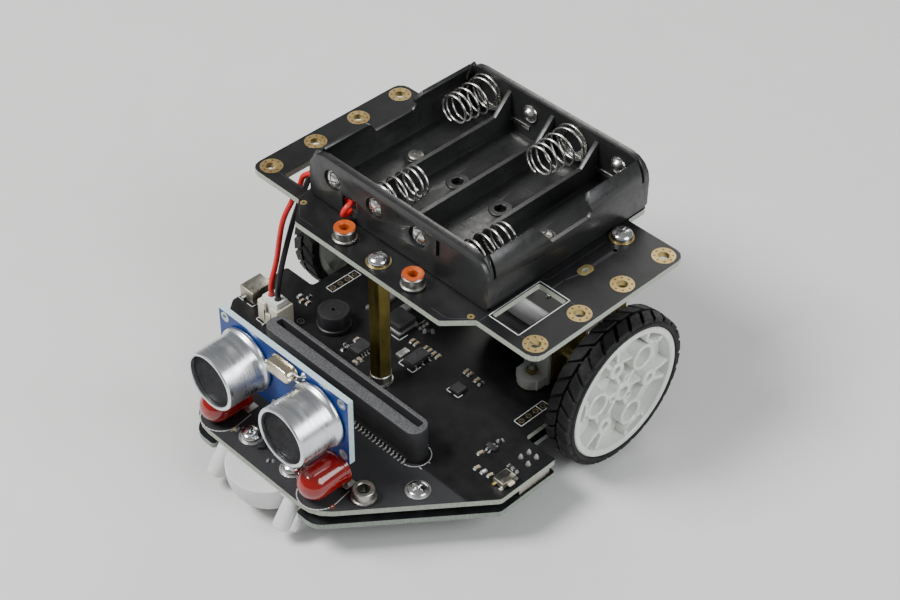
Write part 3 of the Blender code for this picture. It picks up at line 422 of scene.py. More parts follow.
def rod_mesh(radius, start, end, axis="Z", steps=24, bevel=0.0):
    """A turned rod with softened ends."""
    if not bevel:
        return lathe_mesh([(0, end), (radius, end), (radius, start), (0, start)], axis, steps)
    corner = [(radius - bevel + bevel * math.cos(a), bevel * math.sin(a))
              for a in (0, math.pi / 4, math.pi / 2)]
    profile = [(0, end)] + [(r, end - bevel + h) for r, h in reversed(corner)]
    profile += [(r, start + bevel - h) for r, h in corner] + [(0, start)]
    return lathe_mesh(profile, axis, steps)


def ring_mesh(inner, outer, start, end, axis="Z", steps=32, bevel=0.00012):
    """A turned ring with softened edges."""
    b = bevel
    profile = [(inner, end - b), (inner + b, end), (outer - b, end), (outer, end - b),
               (outer, start + b), (outer - b, start), (inner + b, start), (inner, start + b)]
    return lathe_mesh(profile, axis, steps)


def rounded(corners, segments=4):
    """Round a polygon's corners; each corner is (x, y, radius)."""
    points = []
    for i, (x, y, radius) in enumerate(corners):
        here = Vector((x, y))
        if radius == 0:
            points.append((x, y))
            continue
        before = (Vector(corners[i - 1][:2]) - here).normalized()
        after = (Vector(corners[(i + 1) % len(corners)][:2]) - here).normalized()
        half = before.angle(after) / 2
        centre = here + (before + after).normalized() * (radius / math.sin(half))
        start = here + before * (radius / math.tan(half)) - centre
        turn = (here + after * (radius / math.tan(half)) - centre).angle_signed(start)
        for step in range(segments + 1):
            points.append(tuple(centre + Matrix.Rotation(turn * step / segments, 2) @ start))
    return points


def oblong(x0, x1, y0, y1, radius, segments=4):
    return rounded([(x0, y0, radius), (x1, y0, radius), (x1, y1, radius), (x0, y1, radius)],
                   segments)


def circle(x, y, radius, count=24):
    return [(x + radius * math.cos(math.tau * i / count),
             y + radius * math.sin(math.tau * i / count)) for i in range(count)]


def slab_mesh(loops, start, end, plane="XY", bevel=0.0):
    """Extrude flat outlines: the first is the edge, the others are holes."""
    curve = bpy.data.curves.new("outline", "CURVE")
    curve.dimensions, curve.fill_mode = "2D", "BOTH"
    curve.extrude = (end - start) / 2 - bevel
    curve.bevel_depth, curve.bevel_resolution, curve.offset = bevel, 2, -bevel
    for loop in loops:
        spline = curve.splines.new("POLY")
        spline.points.add(len(loop) - 1)
        for point, (u, v) in zip(spline.points, loop):
            point.co = (u, v, 0, 1)
        spline.use_cyclic_u = True
    mesh = evaluated(curve)
    mesh.transform(Matrix.Translation((0, 0, (start + end) / 2)))
    if plane == "XZ":
        mesh.transform(Matrix(((1, 0, 0, 0), (0, 0, 1, 0), (0, 1, 0, 0), (0, 0, 0, 1))))
        mesh.flip_normals()
    if plane == "YZ":
        mesh.transform(Matrix(((0, 0, 1, 0), (1, 0, 0, 0), (0, 1, 0, 0), (0, 0, 0, 1))))
    return mesh


def tube_mesh(points, radius, roundness=3):
    """A round wire along the points, with filled ends."""
    curve = bpy.data.curves.new("wire", "CURVE")
    curve.dimensions = "3D"
    curve.bevel_depth, curve.bevel_resolution, curve.use_fill_caps = radius, roundness, True
    spline = curve.splines.new("POLY")
    spline.points.add(len(points) - 1)
    for point, spot in zip(spline.points, points):
        point.co = (*spot, 1)
    return evaluated(curve)


def evaluated(data, modifiers=()):
    """The mesh of a curve, or of a mesh with boolean cutters taken away."""
    obj = bpy.data.objects.new("work", data)
    bpy.context.scene.collection.objects.link(obj)
    helpers = []
    for cutter in modifiers:
        helper = bpy.data.objects.new("cutter", cutter)
        bpy.context.scene.collection.objects.link(helper)
        helpers.append(helper)
        cut = obj.modifiers.new("cut", "BOOLEAN")
        cut.operation, cut.solver, cut.object = "DIFFERENCE", "EXACT", helper
    bpy.context.view_layer.update()
    source = obj.evaluated_get(bpy.context.evaluated_depsgraph_get())
    bm = bmesh.new()
    bm.from_mesh(bpy.data.meshes.new_from_object(source))
    for helper in helpers + [obj]:
        bpy.data.objects.remove(helper, do_unlink=True)
    bmesh.ops.remove_doubles(bm, verts=bm.verts, dist=1e-7)
    return mesh_of(bm)


def smooth_path(points, steps):
    """Catmull-Rom curve through the points."""
    points = [Vector(p) for p in points]
    knots = [2 * points[0] - points[1]] + points + [2 * points[-1] - points[-2]]
    path = []
    for i in range(1, len(knots) - 2):
        a, b, c, d = knots[i - 1:i + 3]
        for t in (step / steps for step in range(steps)):
            path.append(0.5 * (2 * b + (c - a) * t + (2 * a - 5 * b + 4 * c - d) * t * t
                               + (3 * b - a - 3 * c + d) * t ** 3))
    return path + [points[-1]]


class Piece:
    """One visible piece: shapes gathered into one mesh, each painted with its own look."""

    def __init__(self, name):
        self.name, self.bm, self.looks = name, bmesh.new(), []

    def add(self, mesh, look, matrix=None):
        if look not in self.looks:
            self.looks.append(look)
        verts, faces = len(self.bm.verts), len(self.bm.faces)
        self.bm.from_mesh(mesh)
        self.bm.verts.ensure_lookup_table()
        self.bm.faces.ensure_lookup_table()
        if matrix is not None:
            bmesh.ops.transform(self.bm, matrix=matrix, verts=self.bm.verts[verts:])
        for face in self.bm.faces[faces:]:
            face.material_index = self.looks.index(look)
        return self

    def box(self, first, last, look, bevel=0.0, matrix=None):
        return self.add(box_mesh(first, last, bevel), look, matrix)

    def done(self, slot, *nodes, body=BODY, degrees=34):
        mesh = mesh_of(self.bm)
        mesh.name = self.name
        for look in self.looks:
            mesh.materials.append(LOOKS[look])
        mesh.shade_smooth()
        mesh.set_sharp_from_angle(angle=math.radians(degrees))
        obj = bpy.data.objects.new(self.name, mesh)
        bpy.context.scene.collection.objects.link(obj)
        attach(obj, body)
        if nodes:
            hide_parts(*nodes)
        return obj


# ---------------------------------------------------------------- small shared shapes

INK = 0.00004            # how proud printed lines and pads stand


def stroke(piece, points, width, look, z, closed=False):
    """A printed line along the points, given from the axle."""
    ends = points[1:] + points[:1] if closed else points[1:]
    for (x0, y0), (x1, y1) in zip(points, ends):
        reach = math.hypot(x1 - x0, y1 - y0) / 2 + width / 2
        turn = Matrix.Rotation(math.atan2(y1 - y0, x1 - x0), 4, "Z")
        spot = move((x0 + x1) / 2, (y0 + y1) / 2, z)
        piece.box((-reach, -width / 2, 0), (reach, width / 2, INK), look, 0, spot @ turn)


def arc(x, y, radius, start, end, count=14):
    angles = [math.radians(start + (end - start) * i / count) for i in range(count + 1)]
    return [(x + radius * math.cos(a), y + radius * math.sin(a)) for a in angles]


def phillips_mesh(head_r, head_h, shank_r, shank_l):
    """Pan head screw with a cross recess; its seat is at height 0."""
    dome = [(head_r * math.sin(a), head_h * (0.32 + 0.68 * math.cos(a)))
            for a in (math.radians(d) for d in range(0, 91, 15))]
    rim = [(head_r, head_h * 0.08), (head_r - head_h * 0.08, 0)]
    shank = [(shank_r, 0), (shank_r, -shank_l + 0.0003), (shank_r - 0.0003, -shank_l),
             (0, -shank_l)]
    arm, slot, depth = head_r * 0.58, head_r * 0.115, head_h * 0.58
    cross = [box_mesh((-arm, -slot, head_h - depth), (arm, slot, head_h * 1.2)),
             box_mesh((-slot, -arm, head_h - depth), (slot, arm, head_h * 1.2))]
    return evaluated(lathe_mesh(dome + rim + shank, steps=40), cross)


def nut_mesh(height, bore=0.0016):
    """Round threaded spacer with a solder flange."""
    return lathe_mesh([(bore + 0.0002, height), (0.0026, height), (0.0028, height - 0.0002),
                       (0.0028, 0.0006), (0.0030, 0.0005), (0.0032, 0.0004), (0.0032, 0),
                       (bore, 0), (bore, height - 0.0002)], steps=40)


def make_fasteners():
    """Screws, standoffs, nuts and the orange-capped spacers."""
    pan, flat = phillips_mesh(0.0028, 0.0020, 0.0012, 0.0055), phillips_mesh(0.0027, 0.0010, 0.0012, 0.0075)
    slim = phillips_mesh(0.0027, 0.0020, 0.0010, 0.0070)
    washer = ring_mesh(0.0016, 0.0032, 0, 0.00012, bevel=0.00003)
    kinds = (("deck_screw_", ("front", "left", "right"), pan, DECK_TOP, 25, "gold"),
             ("plate_screw_", ("left", "right"), flat, MAIN_TOP, 50, "solder"),
             ("caster_screw_", ("left", "right"), slim, MAIN_TOP, 10, "solder"))
    for prefix, names, mesh, seat, turn, pad in kinds:
        for i, name in enumerate(names):
            spot = middle(prefix + name)
            spot.z = seat + 0.00022
            piece = Piece(prefix + name + "_fine")
            spin = turned(turn + 35 * i)
            piece.add(mesh, "chrome", Matrix.Translation(spot) @ spin)
            spot.z = seat + 0.00005
            piece.add(washer, pad, Matrix.Translation(spot))
            piece.done("chrome", prefix + name)
    for name in ("front", "left", "right"):
        make_standoff(name)
    for node in ("base_nut_front", "base_nut_left", "base_nut_right", "front_nut_right"):
        foot = low(node)
        Piece(node + "_fine").add(nut_mesh(0.0030), "turned", shift(*middle(node).xy, foot.z)).done(
            "steel", node)
    twin = middle("front_nut_right")
    Piece("front_nut_left").add(nut_mesh(0.0030), "turned",
                                shift(-twin.x, twin.y, low("front_nut_right").z)).done("steel")
    for name, _ in SIDES:
        node = "deck_spacer_" + name
        spot = shift(*middle(node).xy, low(node).z)
        piece = Piece(node + "_fine")
        piece.add(nut_mesh(0.0030), "turned", spot)
        piece.add(ring_mesh(0.00135, 0.00272, 0.00302, 0.00340, bevel=0.0001), "orange", spot)
        piece.add(ring_mesh(0.00118, 0.00138, 0.0004, 0.0032, bevel=0.00004), "orange", spot)
        piece.done("steel", node)


def make_standoff(name):
    """Hexagonal brass pillar with chamfered ends and a stud in the nut below."""
    node = "standoff_" + name
    base = low(node).z + 0.0024
    length, corner, chamfer = high(node).z - base, 0.0025 / math.cos(math.pi / 6), 0.0003
    pillar = lathe_mesh([(0.0016, length), (corner - chamfer, length), (corner, length - chamfer),
                         (corner, chamfer), (corner - chamfer, 0), (0.0016, 0)], steps=6)
    stud = rod_mesh(0.0012, -0.0024, 0.0060, steps=20, bevel=0.0002)
    spot = shift(*middle(node).xy, base) @ turned(-45)
    piece = Piece(node + "_fine").add(pillar, "brass", spot).add(stud, "brass", spot)
    piece.done("brass", node, degrees=25)


# ---------------------------------------------------------------- main board

def chip(piece, x, y, turn, size, look, height=0.0005):
    """Two-terminal part: a small body between two tinned end caps."""
    length, width = size
    place = move(x, y, MAIN_TOP + INK) @ turned(turn)
    cap = length * 0.26
    half, wide = length / 2, width / 2
    piece.box((-half + cap * 0.8, -wide * 0.92, 0), (half - cap * 0.8, wide * 0.92, height * 0.95),
              look, 0.00004, place)
    for s in (-1, 1):
        first, last = sorted((s * half, s * (half - cap)))
        piece.box((first, -wide, 0), (last, wide, height), "solder", 0.00009, place)
        first, last = sorted((s * (half + 0.00025), s * (half - cap)))
        piece.box((first, -wide * 1.1, -INK), (last, wide * 1.1, 0.00008), "solder", 0, place)


def package(piece, x, y, turn, size, height, legs=0, pitch=0.00095, look="chip"):
    """Square or oblong chip with an optional row of gull-wing legs on its two X sides."""
    place = move(x, y, MAIN_TOP + INK) @ turned(turn)
    hx, hy = size[0] / 2, size[1] / 2
    lift = 0.0001 if legs else 0.0
    piece.box((-hx, -hy, lift), (hx, hy, height), look, 0.00012, place)
    piece.add(rod_mesh(0.00022, height - 0.00005, height + 0.00001, steps=12), "board",
              place @ shift(-hx + 0.0006, -hy + 0.0006, 0))
    for s in (-1, 1):
        for i in range(legs):
            y0 = (i - (legs - 1) / 2) * pitch
            first, last = sorted((s * (hx - 0.0001), s * (hx + 0.00045)))
            piece.box((first, y0 - 0.0002, height * 0.35), (last, y0 + 0.0002, height * 0.52),
                      "solder", 0, place)
            first, last = sorted((s * (hx + 0.00028), s * (hx + 0.00105)))
            piece.box((first, y0 - 0.0002, 0), (last, y0 + 0.0002, 0.00016), "solder", 0, place)
            first, last = sorted((s * (hx + 0.00028), s * (hx + 0.00045)))
            piece.box((first, y0 - 0.0002, 0), (last, y0 + 0.0002, height * 0.5), "solder", 0, place)


def solder_mesh(radius, height):
    return lathe_mesh([(0, height), (radius * 0.35, height * 0.92), (radius * 0.7, height * 0.55),
                       (radius * 0.9, height * 0.18), (radius, 0), (0, 0)], steps=18)


CAP, RES = (0.0016, 0.0008), (0.0015, 0.0008)
CHIPS = [
    # x, y, turn, size, look: round the two regulators behind the front standoff
    (12.9, -18.2, 90, CAP, "ceramic"), (14.3, -18.3, 90, CAP, "ceramic"),
    (17.0, -18.5, 90, CAP, "ceramic"), (18.6, -18.7, 90, CAP, "chip"),
    (-4.9, -20.2, 90, CAP, "ceramic"), (-3.4, -20.2, 90, CAP, "ceramic"),
    (-0.6, -19.6, 90, CAP, "ceramic"), (0.9, -19.6, 90, CAP, "ceramic"),
    (2.4, -19.6, 90, CAP, "ceramic"), (3.9, -19.6, 90, CAP, "ceramic"),
    (-7.6, -15.4, 0, RES, "chip"), (-7.6, -14.1, 0, RES, "chip"), (-7.6, -12.8, 0, RES, "chip"),
    (-4.6, -14.6, 45, (0.0026, 0.0014), "chip"),
    # beside the buzzer
    (-15.6, -33.6, 0, RES, "chip"), (-14.2, -33.6, 0, RES, "chip"), (-15.0, -35.0, 90, RES, "chip"),
    (-15.4, -30.2, 90, CAP, "ceramic"), (-13.4, -30.4, 90, RES, "chip"),
    (-12.2, -30.6, 90, RES, "chip"), (-9.2, -36.2, 0, CAP, "ceramic"), (-9.2, -34.7, 0, CAP, "ceramic"),
    (-21.9, -19.0, 45, (0.0024, 0.0013), "chip"), (-19.3, -19.4, 45, (0.0024, 0.0013), "chip"),
    (-17.0, -19.0, 90, CAP, "chip"),
    # the front right corner, by the button
    (35.6, -36.0, 80, CAP, "ceramic"), (36.1, -29.6, 60, RES, "chip"),
    (38.5, -40.1, 80, CAP, "ceramic"), (40.6, -39.9, 80, CAP, "ink"), (42.5, -39.6, 80, CAP, "ceramic"),
    (44.0, -34.1, 0, RES, "chip"), (45.6, -34.2, 0, RES, "chip"),
    # in front of the sensor
    (-12.0, -74.1, 40, RES, "ceramic"), (-11.2, -72.6, 40, RES, "chip"),
    (2.1, -74.5, 40, RES, "chip"), (1.6, -71.7, 40, RES, "chip"),
    # behind the switch and the battery socket
    (-38.4, -29.6, 90, RES, "ink"), (-36.6, -30.4, 90, RES, "ceramic"), (-36.4, -28.0, 90, RES, "chip"),
    (-34.8, -29.8, 90, RES, "ceramic"), (-43.5, -33.5, 0, (0.0020, 0.0012), "ceramic"),
    # out of sight at the back
    (20.0, 14.0, 0, CAP, "ceramic"), (22.0, 14.0, 0, CAP, "ceramic"), (-20.0, 15.0, 90, RES, "chip"),
    (-22.0, 15.0, 90, RES, "chip"), (-6.0, 18.0, 0, CAP, "ceramic"), (7.5, 18.5, 90, CAP, "ceramic"),
]


def make_chips():
    """Solder-mounted parts of the main board."""
    piece = Piece("board_components")
    for x, y, turn, size, look in CHIPS:
        chip(piece, x * MM, y * MM, turn, size, look)
    package(piece, 0.0161, -0.0243, 0, (0.0032, 0.0032), 0.0009)
    package(piece, 0.0010, -0.0243, 0, (0.0036, 0.0062), 0.0016, 3, 0.0023)
    package(piece, -0.0120, -0.0320, 0, (0.0038, 0.0050), 0.0014, 4)
    package(piece, 0.0364, -0.0330, 90, (0.0014, 0.0028), 0.0010, 2)
    package(piece, 0.0, 0.0160, 90, (0.0040, 0.0052), 0.0015, 4)
    package(piece, -0.0030, -0.0730, 45, (0.0018, 0.0016), 0.0009)
    package(piece, 0.0, 0.0060, 0, (0.0052, 0.0052), 0.0010)
    for s in (-1, 1):
        piece.box((-0.0012 + s * 0.0030, -0.0021, 0), (0.0012 + s * 0.0030, 0.0021, 0.0012), "solder",
                  0.0002, move(-0.0180, -0.0140, MAIN_TOP))
    choke = move(-0.0117, -0.0182, MAIN_TOP + INK)
    piece.box((-0.0034, -0.0034, 0), (0.0034, 0.0034, 0.0010), "solder", 0.0003, choke)
    piece.box((-0.0033, -0.0033, 0.0009), (0.0033, 0.0033, 0.0030), "chip", 0.0008, choke)
    piece.add(rod_mesh(0.0026, 0.0029, 0.0031, steps=28, bevel=0.0001), "buzzer", choke)
    tab = move(-0.0032, -0.0252, MAIN_TOP + INK)
    piece.box((-0.0010, -0.0017, 0), (0.0010, 0.0017, 0.0006), "solder", 0.0001, tab)
    bump = solder_mesh(0.0007, 0.0011)
    for x, y in ((43.4, -29.9), (43.7, -27.3), (46.1, -27.2), (46.3, -30.3)):
        piece.add(bump, "solder", move(x * MM, y * MM, MAIN_TOP))
    for x in (30.5, 33.0):
        for y in (19.5, 22.0):
            for s in (-1, 1):
                piece.add(bump, "solder", move(s * x * MM, y * MM, MAIN_TOP))
    piece.done("circuit_board")


def make_prints():
    """Printed outlines, plated holes and the row of pin holes by the right wheel."""
    piece = Piece("board_prints")
    z = MAIN_TOP + 0.00002
    line = 0.00020
    pins = [-0.0208 + 0.00254 * i for i in range(4)]
    pad = ring_mesh(0.0005, 0.0008, 0, INK, bevel=0.00001)
    for s in (-1, 1):
        x = s * 0.0349
        for y in pins:
            piece.add(pad, "gold", move(x, y, z))
            piece.add(rod_mesh(0.0005, 0, INK * 0.6, steps=14), "chip", move(x, y, z))
        stroke(piece, [(x - 0.0013, -0.0222), (x + 0.0013, -0.0222), (x + 0.0013, -0.0119),
                       (x - 0.0013, -0.0119)], line, "ink", z, True)
        stroke(piece, [(x - 0.0013, -0.0145), (x + 0.0013, -0.0145)], line, "ink", z)
        stroke(piece, arc(s * 0.0181, -0.0730, 0.0054, 180, 360, 18), line * 1.3, "ink", z)
        stroke(piece, [(s * 0.0181 - 0.0054, -0.0730), (s * 0.0181 - 0.0046, -0.0675)], line, "ink", z)
        stroke(piece, [(s * 0.0181 + 0.0054, -0.0730), (s * 0.0181 + 0.0046, -0.0675)], line, "ink", z)
        for y in (-0.0500, -0.0472):
            stroke(piece, [(s * 0.0288, y), (s * 0.0294, y)], line, "ink", z)
        piece.add(ring_mesh(0.0003, 0.0007, 0, INK, bevel=0.00001), "copper",
                  move(s * 0.0235, -0.0736, z))
    stroke(piece, arc(0.0247, -0.0478, 0.0042, -80, 80), line, "ink", z)
    stroke(piece, arc(-0.0249, -0.0478, 0.0042, 100, 260), line, "ink", z)
    stroke(piece, arc(-0.0309, -0.0359, 0.0009, 0, 359, 20), line, "ink", z)
    stroke(piece, arc(-0.0309, -0.0359, 0.0003, 0, 359, 10), line, "ink", z)
    for x0, y0, w, h in ((-0.0117, -0.0182, 0.0042, 0.0042), (0.0010, -0.0243, 0.0026, 0.0040),
                         (0.0161, -0.0243, 0.0021, 0.0021), (-0.0353, -0.0404, 0.0044, 0.0033),
                         (-0.0468, -0.0373, 0.0028, 0.0041)):
        stroke(piece, [(x0 - w, y0 - h * 0.3), (x0 - w, y0 - h), (x0 - w * 0.3, y0 - h)], line, "ink", z)
        stroke(piece, [(x0 + w, y0 - h * 0.3), (x0 + w, y0 - h), (x0 + w * 0.3, y0 - h)], line, "ink", z)
    for i in range(7):
        x = -0.0300 + 0.0012 * i
        stroke(piece, [(x, -0.0272 - 0.0002 * (i % 2)), (x + 0.0005, -0.0272)], line * 2.2, "ink", z)
    piece.done("circuit_board")


def make_edge_connector():
    """Long slotted socket: a painted pale sheen on its top, rows of contacts in the slot and of legs
    outside.
    """
    first, last = low("edge_connector"), high("edge_connector")
    radius, floor = 0.0031, first.z + 0.0030
    outline = oblong(first.x, last.x, first.y, last.y, radius, 8)
    y0, y1 = AXLE_Y - 0.0477, AXLE_Y - 0.0458
    slot = oblong(first.x + 0.0020, last.x - 0.0020, y0, y1, 0.0004, 3)
    piece = Piece("edge_connector_fine")
    piece.add(slab_mesh([outline, slot], floor, last.z, bevel=0.0003), "speckled")
    piece.add(slab_mesh([outline], first.z, floor + 0.0004, bevel=0.0001), "black")
    pitch, count = 0.00127, 40
    for i in range(count):
        x = (i - (count - 1) / 2) * pitch
        for y, out in ((first.y, -1), (last.y, 1)):
            a, b = sorted((y - out * 0.0002, y + out * 0.0013))
            piece.box((x - 0.0002, a, MAIN_TOP + 0.00005), (x + 0.0002, b, MAIN_TOP + 0.0003),
                      "solder", 0.00005)
            a, b = sorted((y - out * 0.0001, y + out * 0.0003))
            piece.box((x - 0.0002, a, MAIN_TOP + 0.0001), (x + 0.0002, b, MAIN_TOP + 0.0009),
                      "solder", 0.00004)
        for y, inward in ((y0, 1), (y1, -1)):
            a, b = sorted((y - inward * 0.0001, y + inward * 0.00035))
            piece.box((x - 0.00025, a, floor), (x + 0.00025, b, last.z - 0.0042), "gold", 0.00006)
    piece.done("grey_socket", "edge_connector")


def make_buzzer():
    node = "buzzer"
    spot = shift(*middle(node).xy, low(node).z)
    r, h = (high(node).x - low(node).x) / 2 - 0.0003, high(node).z - low(node).z
    profile = [(0, h * 0.6), (0.0004, h * 0.6), (0.0005, h - 0.0001), (0.0006, h),
               (r - 0.0005, h), (r - 0.0002, h - 0.0001), (r, h - 0.0004), (r, 0.0012),
               (r + 0.0003, 0.0010), (r + 0.0003, 0.0001), (r + 0.0002, 0), (0, 0)]
    piece = Piece("buzzer_fine").add(lathe_mesh(profile, steps=64), "buzzer", spot)
    piece.add(ring_mesh(r * 0.72, r * 0.75, h - 0.00004, h + 0.00006, bevel=0.00002), "buzzer", spot)
    piece.done("black_plastic", node)


def make_socket_trim():
    """Pins of the battery socket and switch, and the metal of the side button."""
    piece = Piece("connector_trim")
    s0, s1 = low("battery_socket"), high("battery_socket")
    for i in (-1, 1):
        x = middle("battery_socket").x + i * 0.00125
        piece.box((x - 0.00025, s0.y - 0.0011, MAIN_TOP + INK), (x + 0.00025, s0.y + 0.0002,
                  MAIN_TOP + 0.0004), "solder", 0.00008)
        piece.box((s0.x - 0.0009 if i < 0 else s1.x - 0.0002, s0.y + 0.0010, MAIN_TOP + INK),
                  (s0.x + 0.0002 if i < 0 else s1.x + 0.0009, s0.y + 0.0030, MAIN_TOP + 0.0005),
                  "solder", 0.0001)
        piece.box((x - 0.00015, s0.y - 0.00006, s0.z + 0.0008), (x + 0.00015, s0.y + 0.0001,
                  s0.z + 0.0046), "speckled", 0.00003)
    w0, w1 = low("switch_body"), high("switch_body")
    for i in range(3):
        y = w0.y + 0.0012 + i * 0.0023
        piece.box((w1.x - 0.0001, y - 0.0003, MAIN_TOP + INK), (w1.x + 0.0009, y + 0.0003,
                  MAIN_TOP + 0.0003), "solder", 0.00006)
    for y in (w0.y - 0.0006, w1.y - 0.0002):
        piece.box((w0.x + 0.0008, y, MAIN_TOP + INK), (w0.x + 0.0018, y + 0.0008, MAIN_TOP + 0.0009),
                  "solder", 0.0001)
    piece.box((w1.x - 0.0006, w0.y + 0.0028, w1.z - 0.0005), (w1.x + 0.00006, w0.y + 0.0042,
              w1.z + 0.00004), "chip", 0.00003)
    piece.box((w0.x + 0.0002, w0.y + 0.0002, w1.z - 0.0001), (w1.x - 0.0002, w1.y - 0.0002,
              w1.z + 0.00008), "tin", 0.00006)
    b0, b1 = low("button_body"), high("button_body")
    for y in (b0.y - 0.0007, b1.y - 0.0002):
        piece.box((b0.x + 0.0002, y, MAIN_TOP + INK), (b0.x + 0.0011, y + 0.0009, MAIN_TOP + 0.0006),
                  "gold", 0.0001)
        piece.box((b1.x - 0.0009, y, MAIN_TOP + INK), (b1.x + 0.0001, y + 0.0009, MAIN_TOP + 0.0005),
                  "solder", 0.0001)
    piece.box((b0.x + 0.0003, b0.y + 0.0004, b1.z - 0.0001), (b0.x + 0.0019, b1.y - 0.0004,
              b1.z + 0.0002), "black", 0.00008)
    piece.done("steel")


# ---------------------------------------------------------------- top plate

def make_deck_prints():
    """Plated rings with their vias, the slotted pad and the copper under the solder mask."""
    piece = Piece("deck_pads")
    bottom, top = low("top_plate").z, DECK_TOP
    ring = ring_mesh(0.00150, 0.00300, 0, INK, bevel=0.00001, steps=48)
    barrel = ring_mesh(0.00138, 0.00149, bottom - top + INK, INK, bevel=0.00001, steps=40)
    via = rod_mesh(0.00030, 0, INK * 1.6, steps=12)
    for _, s in SIDES:
        for row in range(4):
            x, y = s * 0.04625, -0.0300 + row * 0.0150
            piece.add(barrel, "gold", move(x, y, top + 0.00001))
            for z, flip in ((top + 0.00001, 1), (bottom - 0.00001, -1)):
                spot = move(x, y, z) @ Matrix.Scale(flip, 4, (0, 0, 1))
                piece.add(ring, "gold", spot)
                for i in range(8):
                    a = math.tau * i / 8
                    piece.add(via, "copper", spot @ shift(0.00228 * math.cos(a), 0.00228 * math.sin(a), 0))
    slot = [[(u, v + AXLE_Y) for u, v in rounded(c)] for c in (
        [(0.0352, -0.0048, 0.0014), (0.0382, -0.0048, 0.0014), (0.0382, -0.0003, 0.0014),
         (0.0352, -0.0003, 0.0014)],
        [(0.0361, -0.0035, 0.0004), (0.0373, -0.0035, 0.0004), (0.0373, -0.0016, 0.0004),
         (0.0361, -0.0016, 0.0004)])]
    piece.add(slab_mesh(slot, top, top + INK), "gold")
    for x, y in ((0.0294, -0.0340), (-0.0294, -0.0340)):
        piece.add(ring_mesh(0.0003, 0.0009, 0, INK, bevel=0.00001), "gold", move(x, y, top))
    for _, s in SIDES:
        for route, width in ((((0.0340, -0.0304), (0.0495, -0.0304)), 0.00022),
                             (((0.0340, -0.0136), (0.0495, -0.0136)), 0.00022),
                             (((0.0368, 0.0000), (0.0368, 0.0080), (0.0357, 0.0105)), 0.0010),
                             (((0.0367, -0.0050), (0.0357, -0.0090), (0.0357, -0.0130)), 0.00045),
                             (((0.0318, -0.0335), (0.0318, -0.0130), (0.0330, -0.0110),
                               (0.0330, 0.0090)), 0.00022),
                             (((0.0210, -0.0385), (0.0260, -0.0385), (0.0300, -0.0345)), 0.00022)):
            stroke(piece, [(s * x, y) for x, y in route], width, "trace", top - 0.00001)
    stroke(piece, [(0.0320, -0.0307), (0.0416, -0.0307), (0.0416, -0.0133), (0.0320, -0.0133)],
           0.00020, "ink", top, True)
    piece.done("circuit_board")


# ---------------------------------------------------------------- sensor and lamps

def make_transducer(name):
    """Drawn can with a fillet at its flange, a thick front lip and a mesh inside."""
    node = "transducer_" + name
    first, last = low(node), high(node)
    centre = middle(node)
    back, front = last.y, first.y
    length, r, lip = back - front, 0.0080, 0.0010
    profile = [(0, length - 0.0018), (r - lip, length - 0.0018), (r - lip, length - 0.0002),
               (r - lip + 0.0002, length), (r - 0.0003, length), (r, length - 0.0003),
               (r, 0.0022), (r + 0.0001, 0.0016), (r + 0.0004, 0.0012), (r + 0.0006, 0.0010),
               (r + 0.0007, 0.0008), (r + 0.0007, 0.0001), (r + 0.0006, 0), (0, 0)]
    spot = shift(centre.x, back, centre.z)
    piece = Piece(node + "_fine").add(lathe_mesh(profile, "-Y", 72), "can", spot)
    inner = r - lip - 0.0001
    well = lathe_mesh([(0, length - 0.0016), (inner, length - 0.0016), (inner, length - 0.0018),
                       (0, length - 0.0018)], "-Y", 48)
    piece.add(well, "mesh", spot)
    bars, face = 22, -(length - 0.0011)
    for axis, thick in ((0, 0.00016), (1, 0.00010)):
        for i in range(1, bars):
            across = inner * (2 * i / bars - 1)
            reach = math.sqrt(inner ** 2 - across ** 2)
            if axis:
                box = ((-reach, face, across - thick), (reach, face + 0.0004, across + thick))
            else:
                box = ((across - thick / 2, face + 0.0002, -reach),
                       (across + thick / 2, face + 0.0005, reach))
            piece.box(*box, "mesh", 0, spot)
    piece.done("aluminium", node)


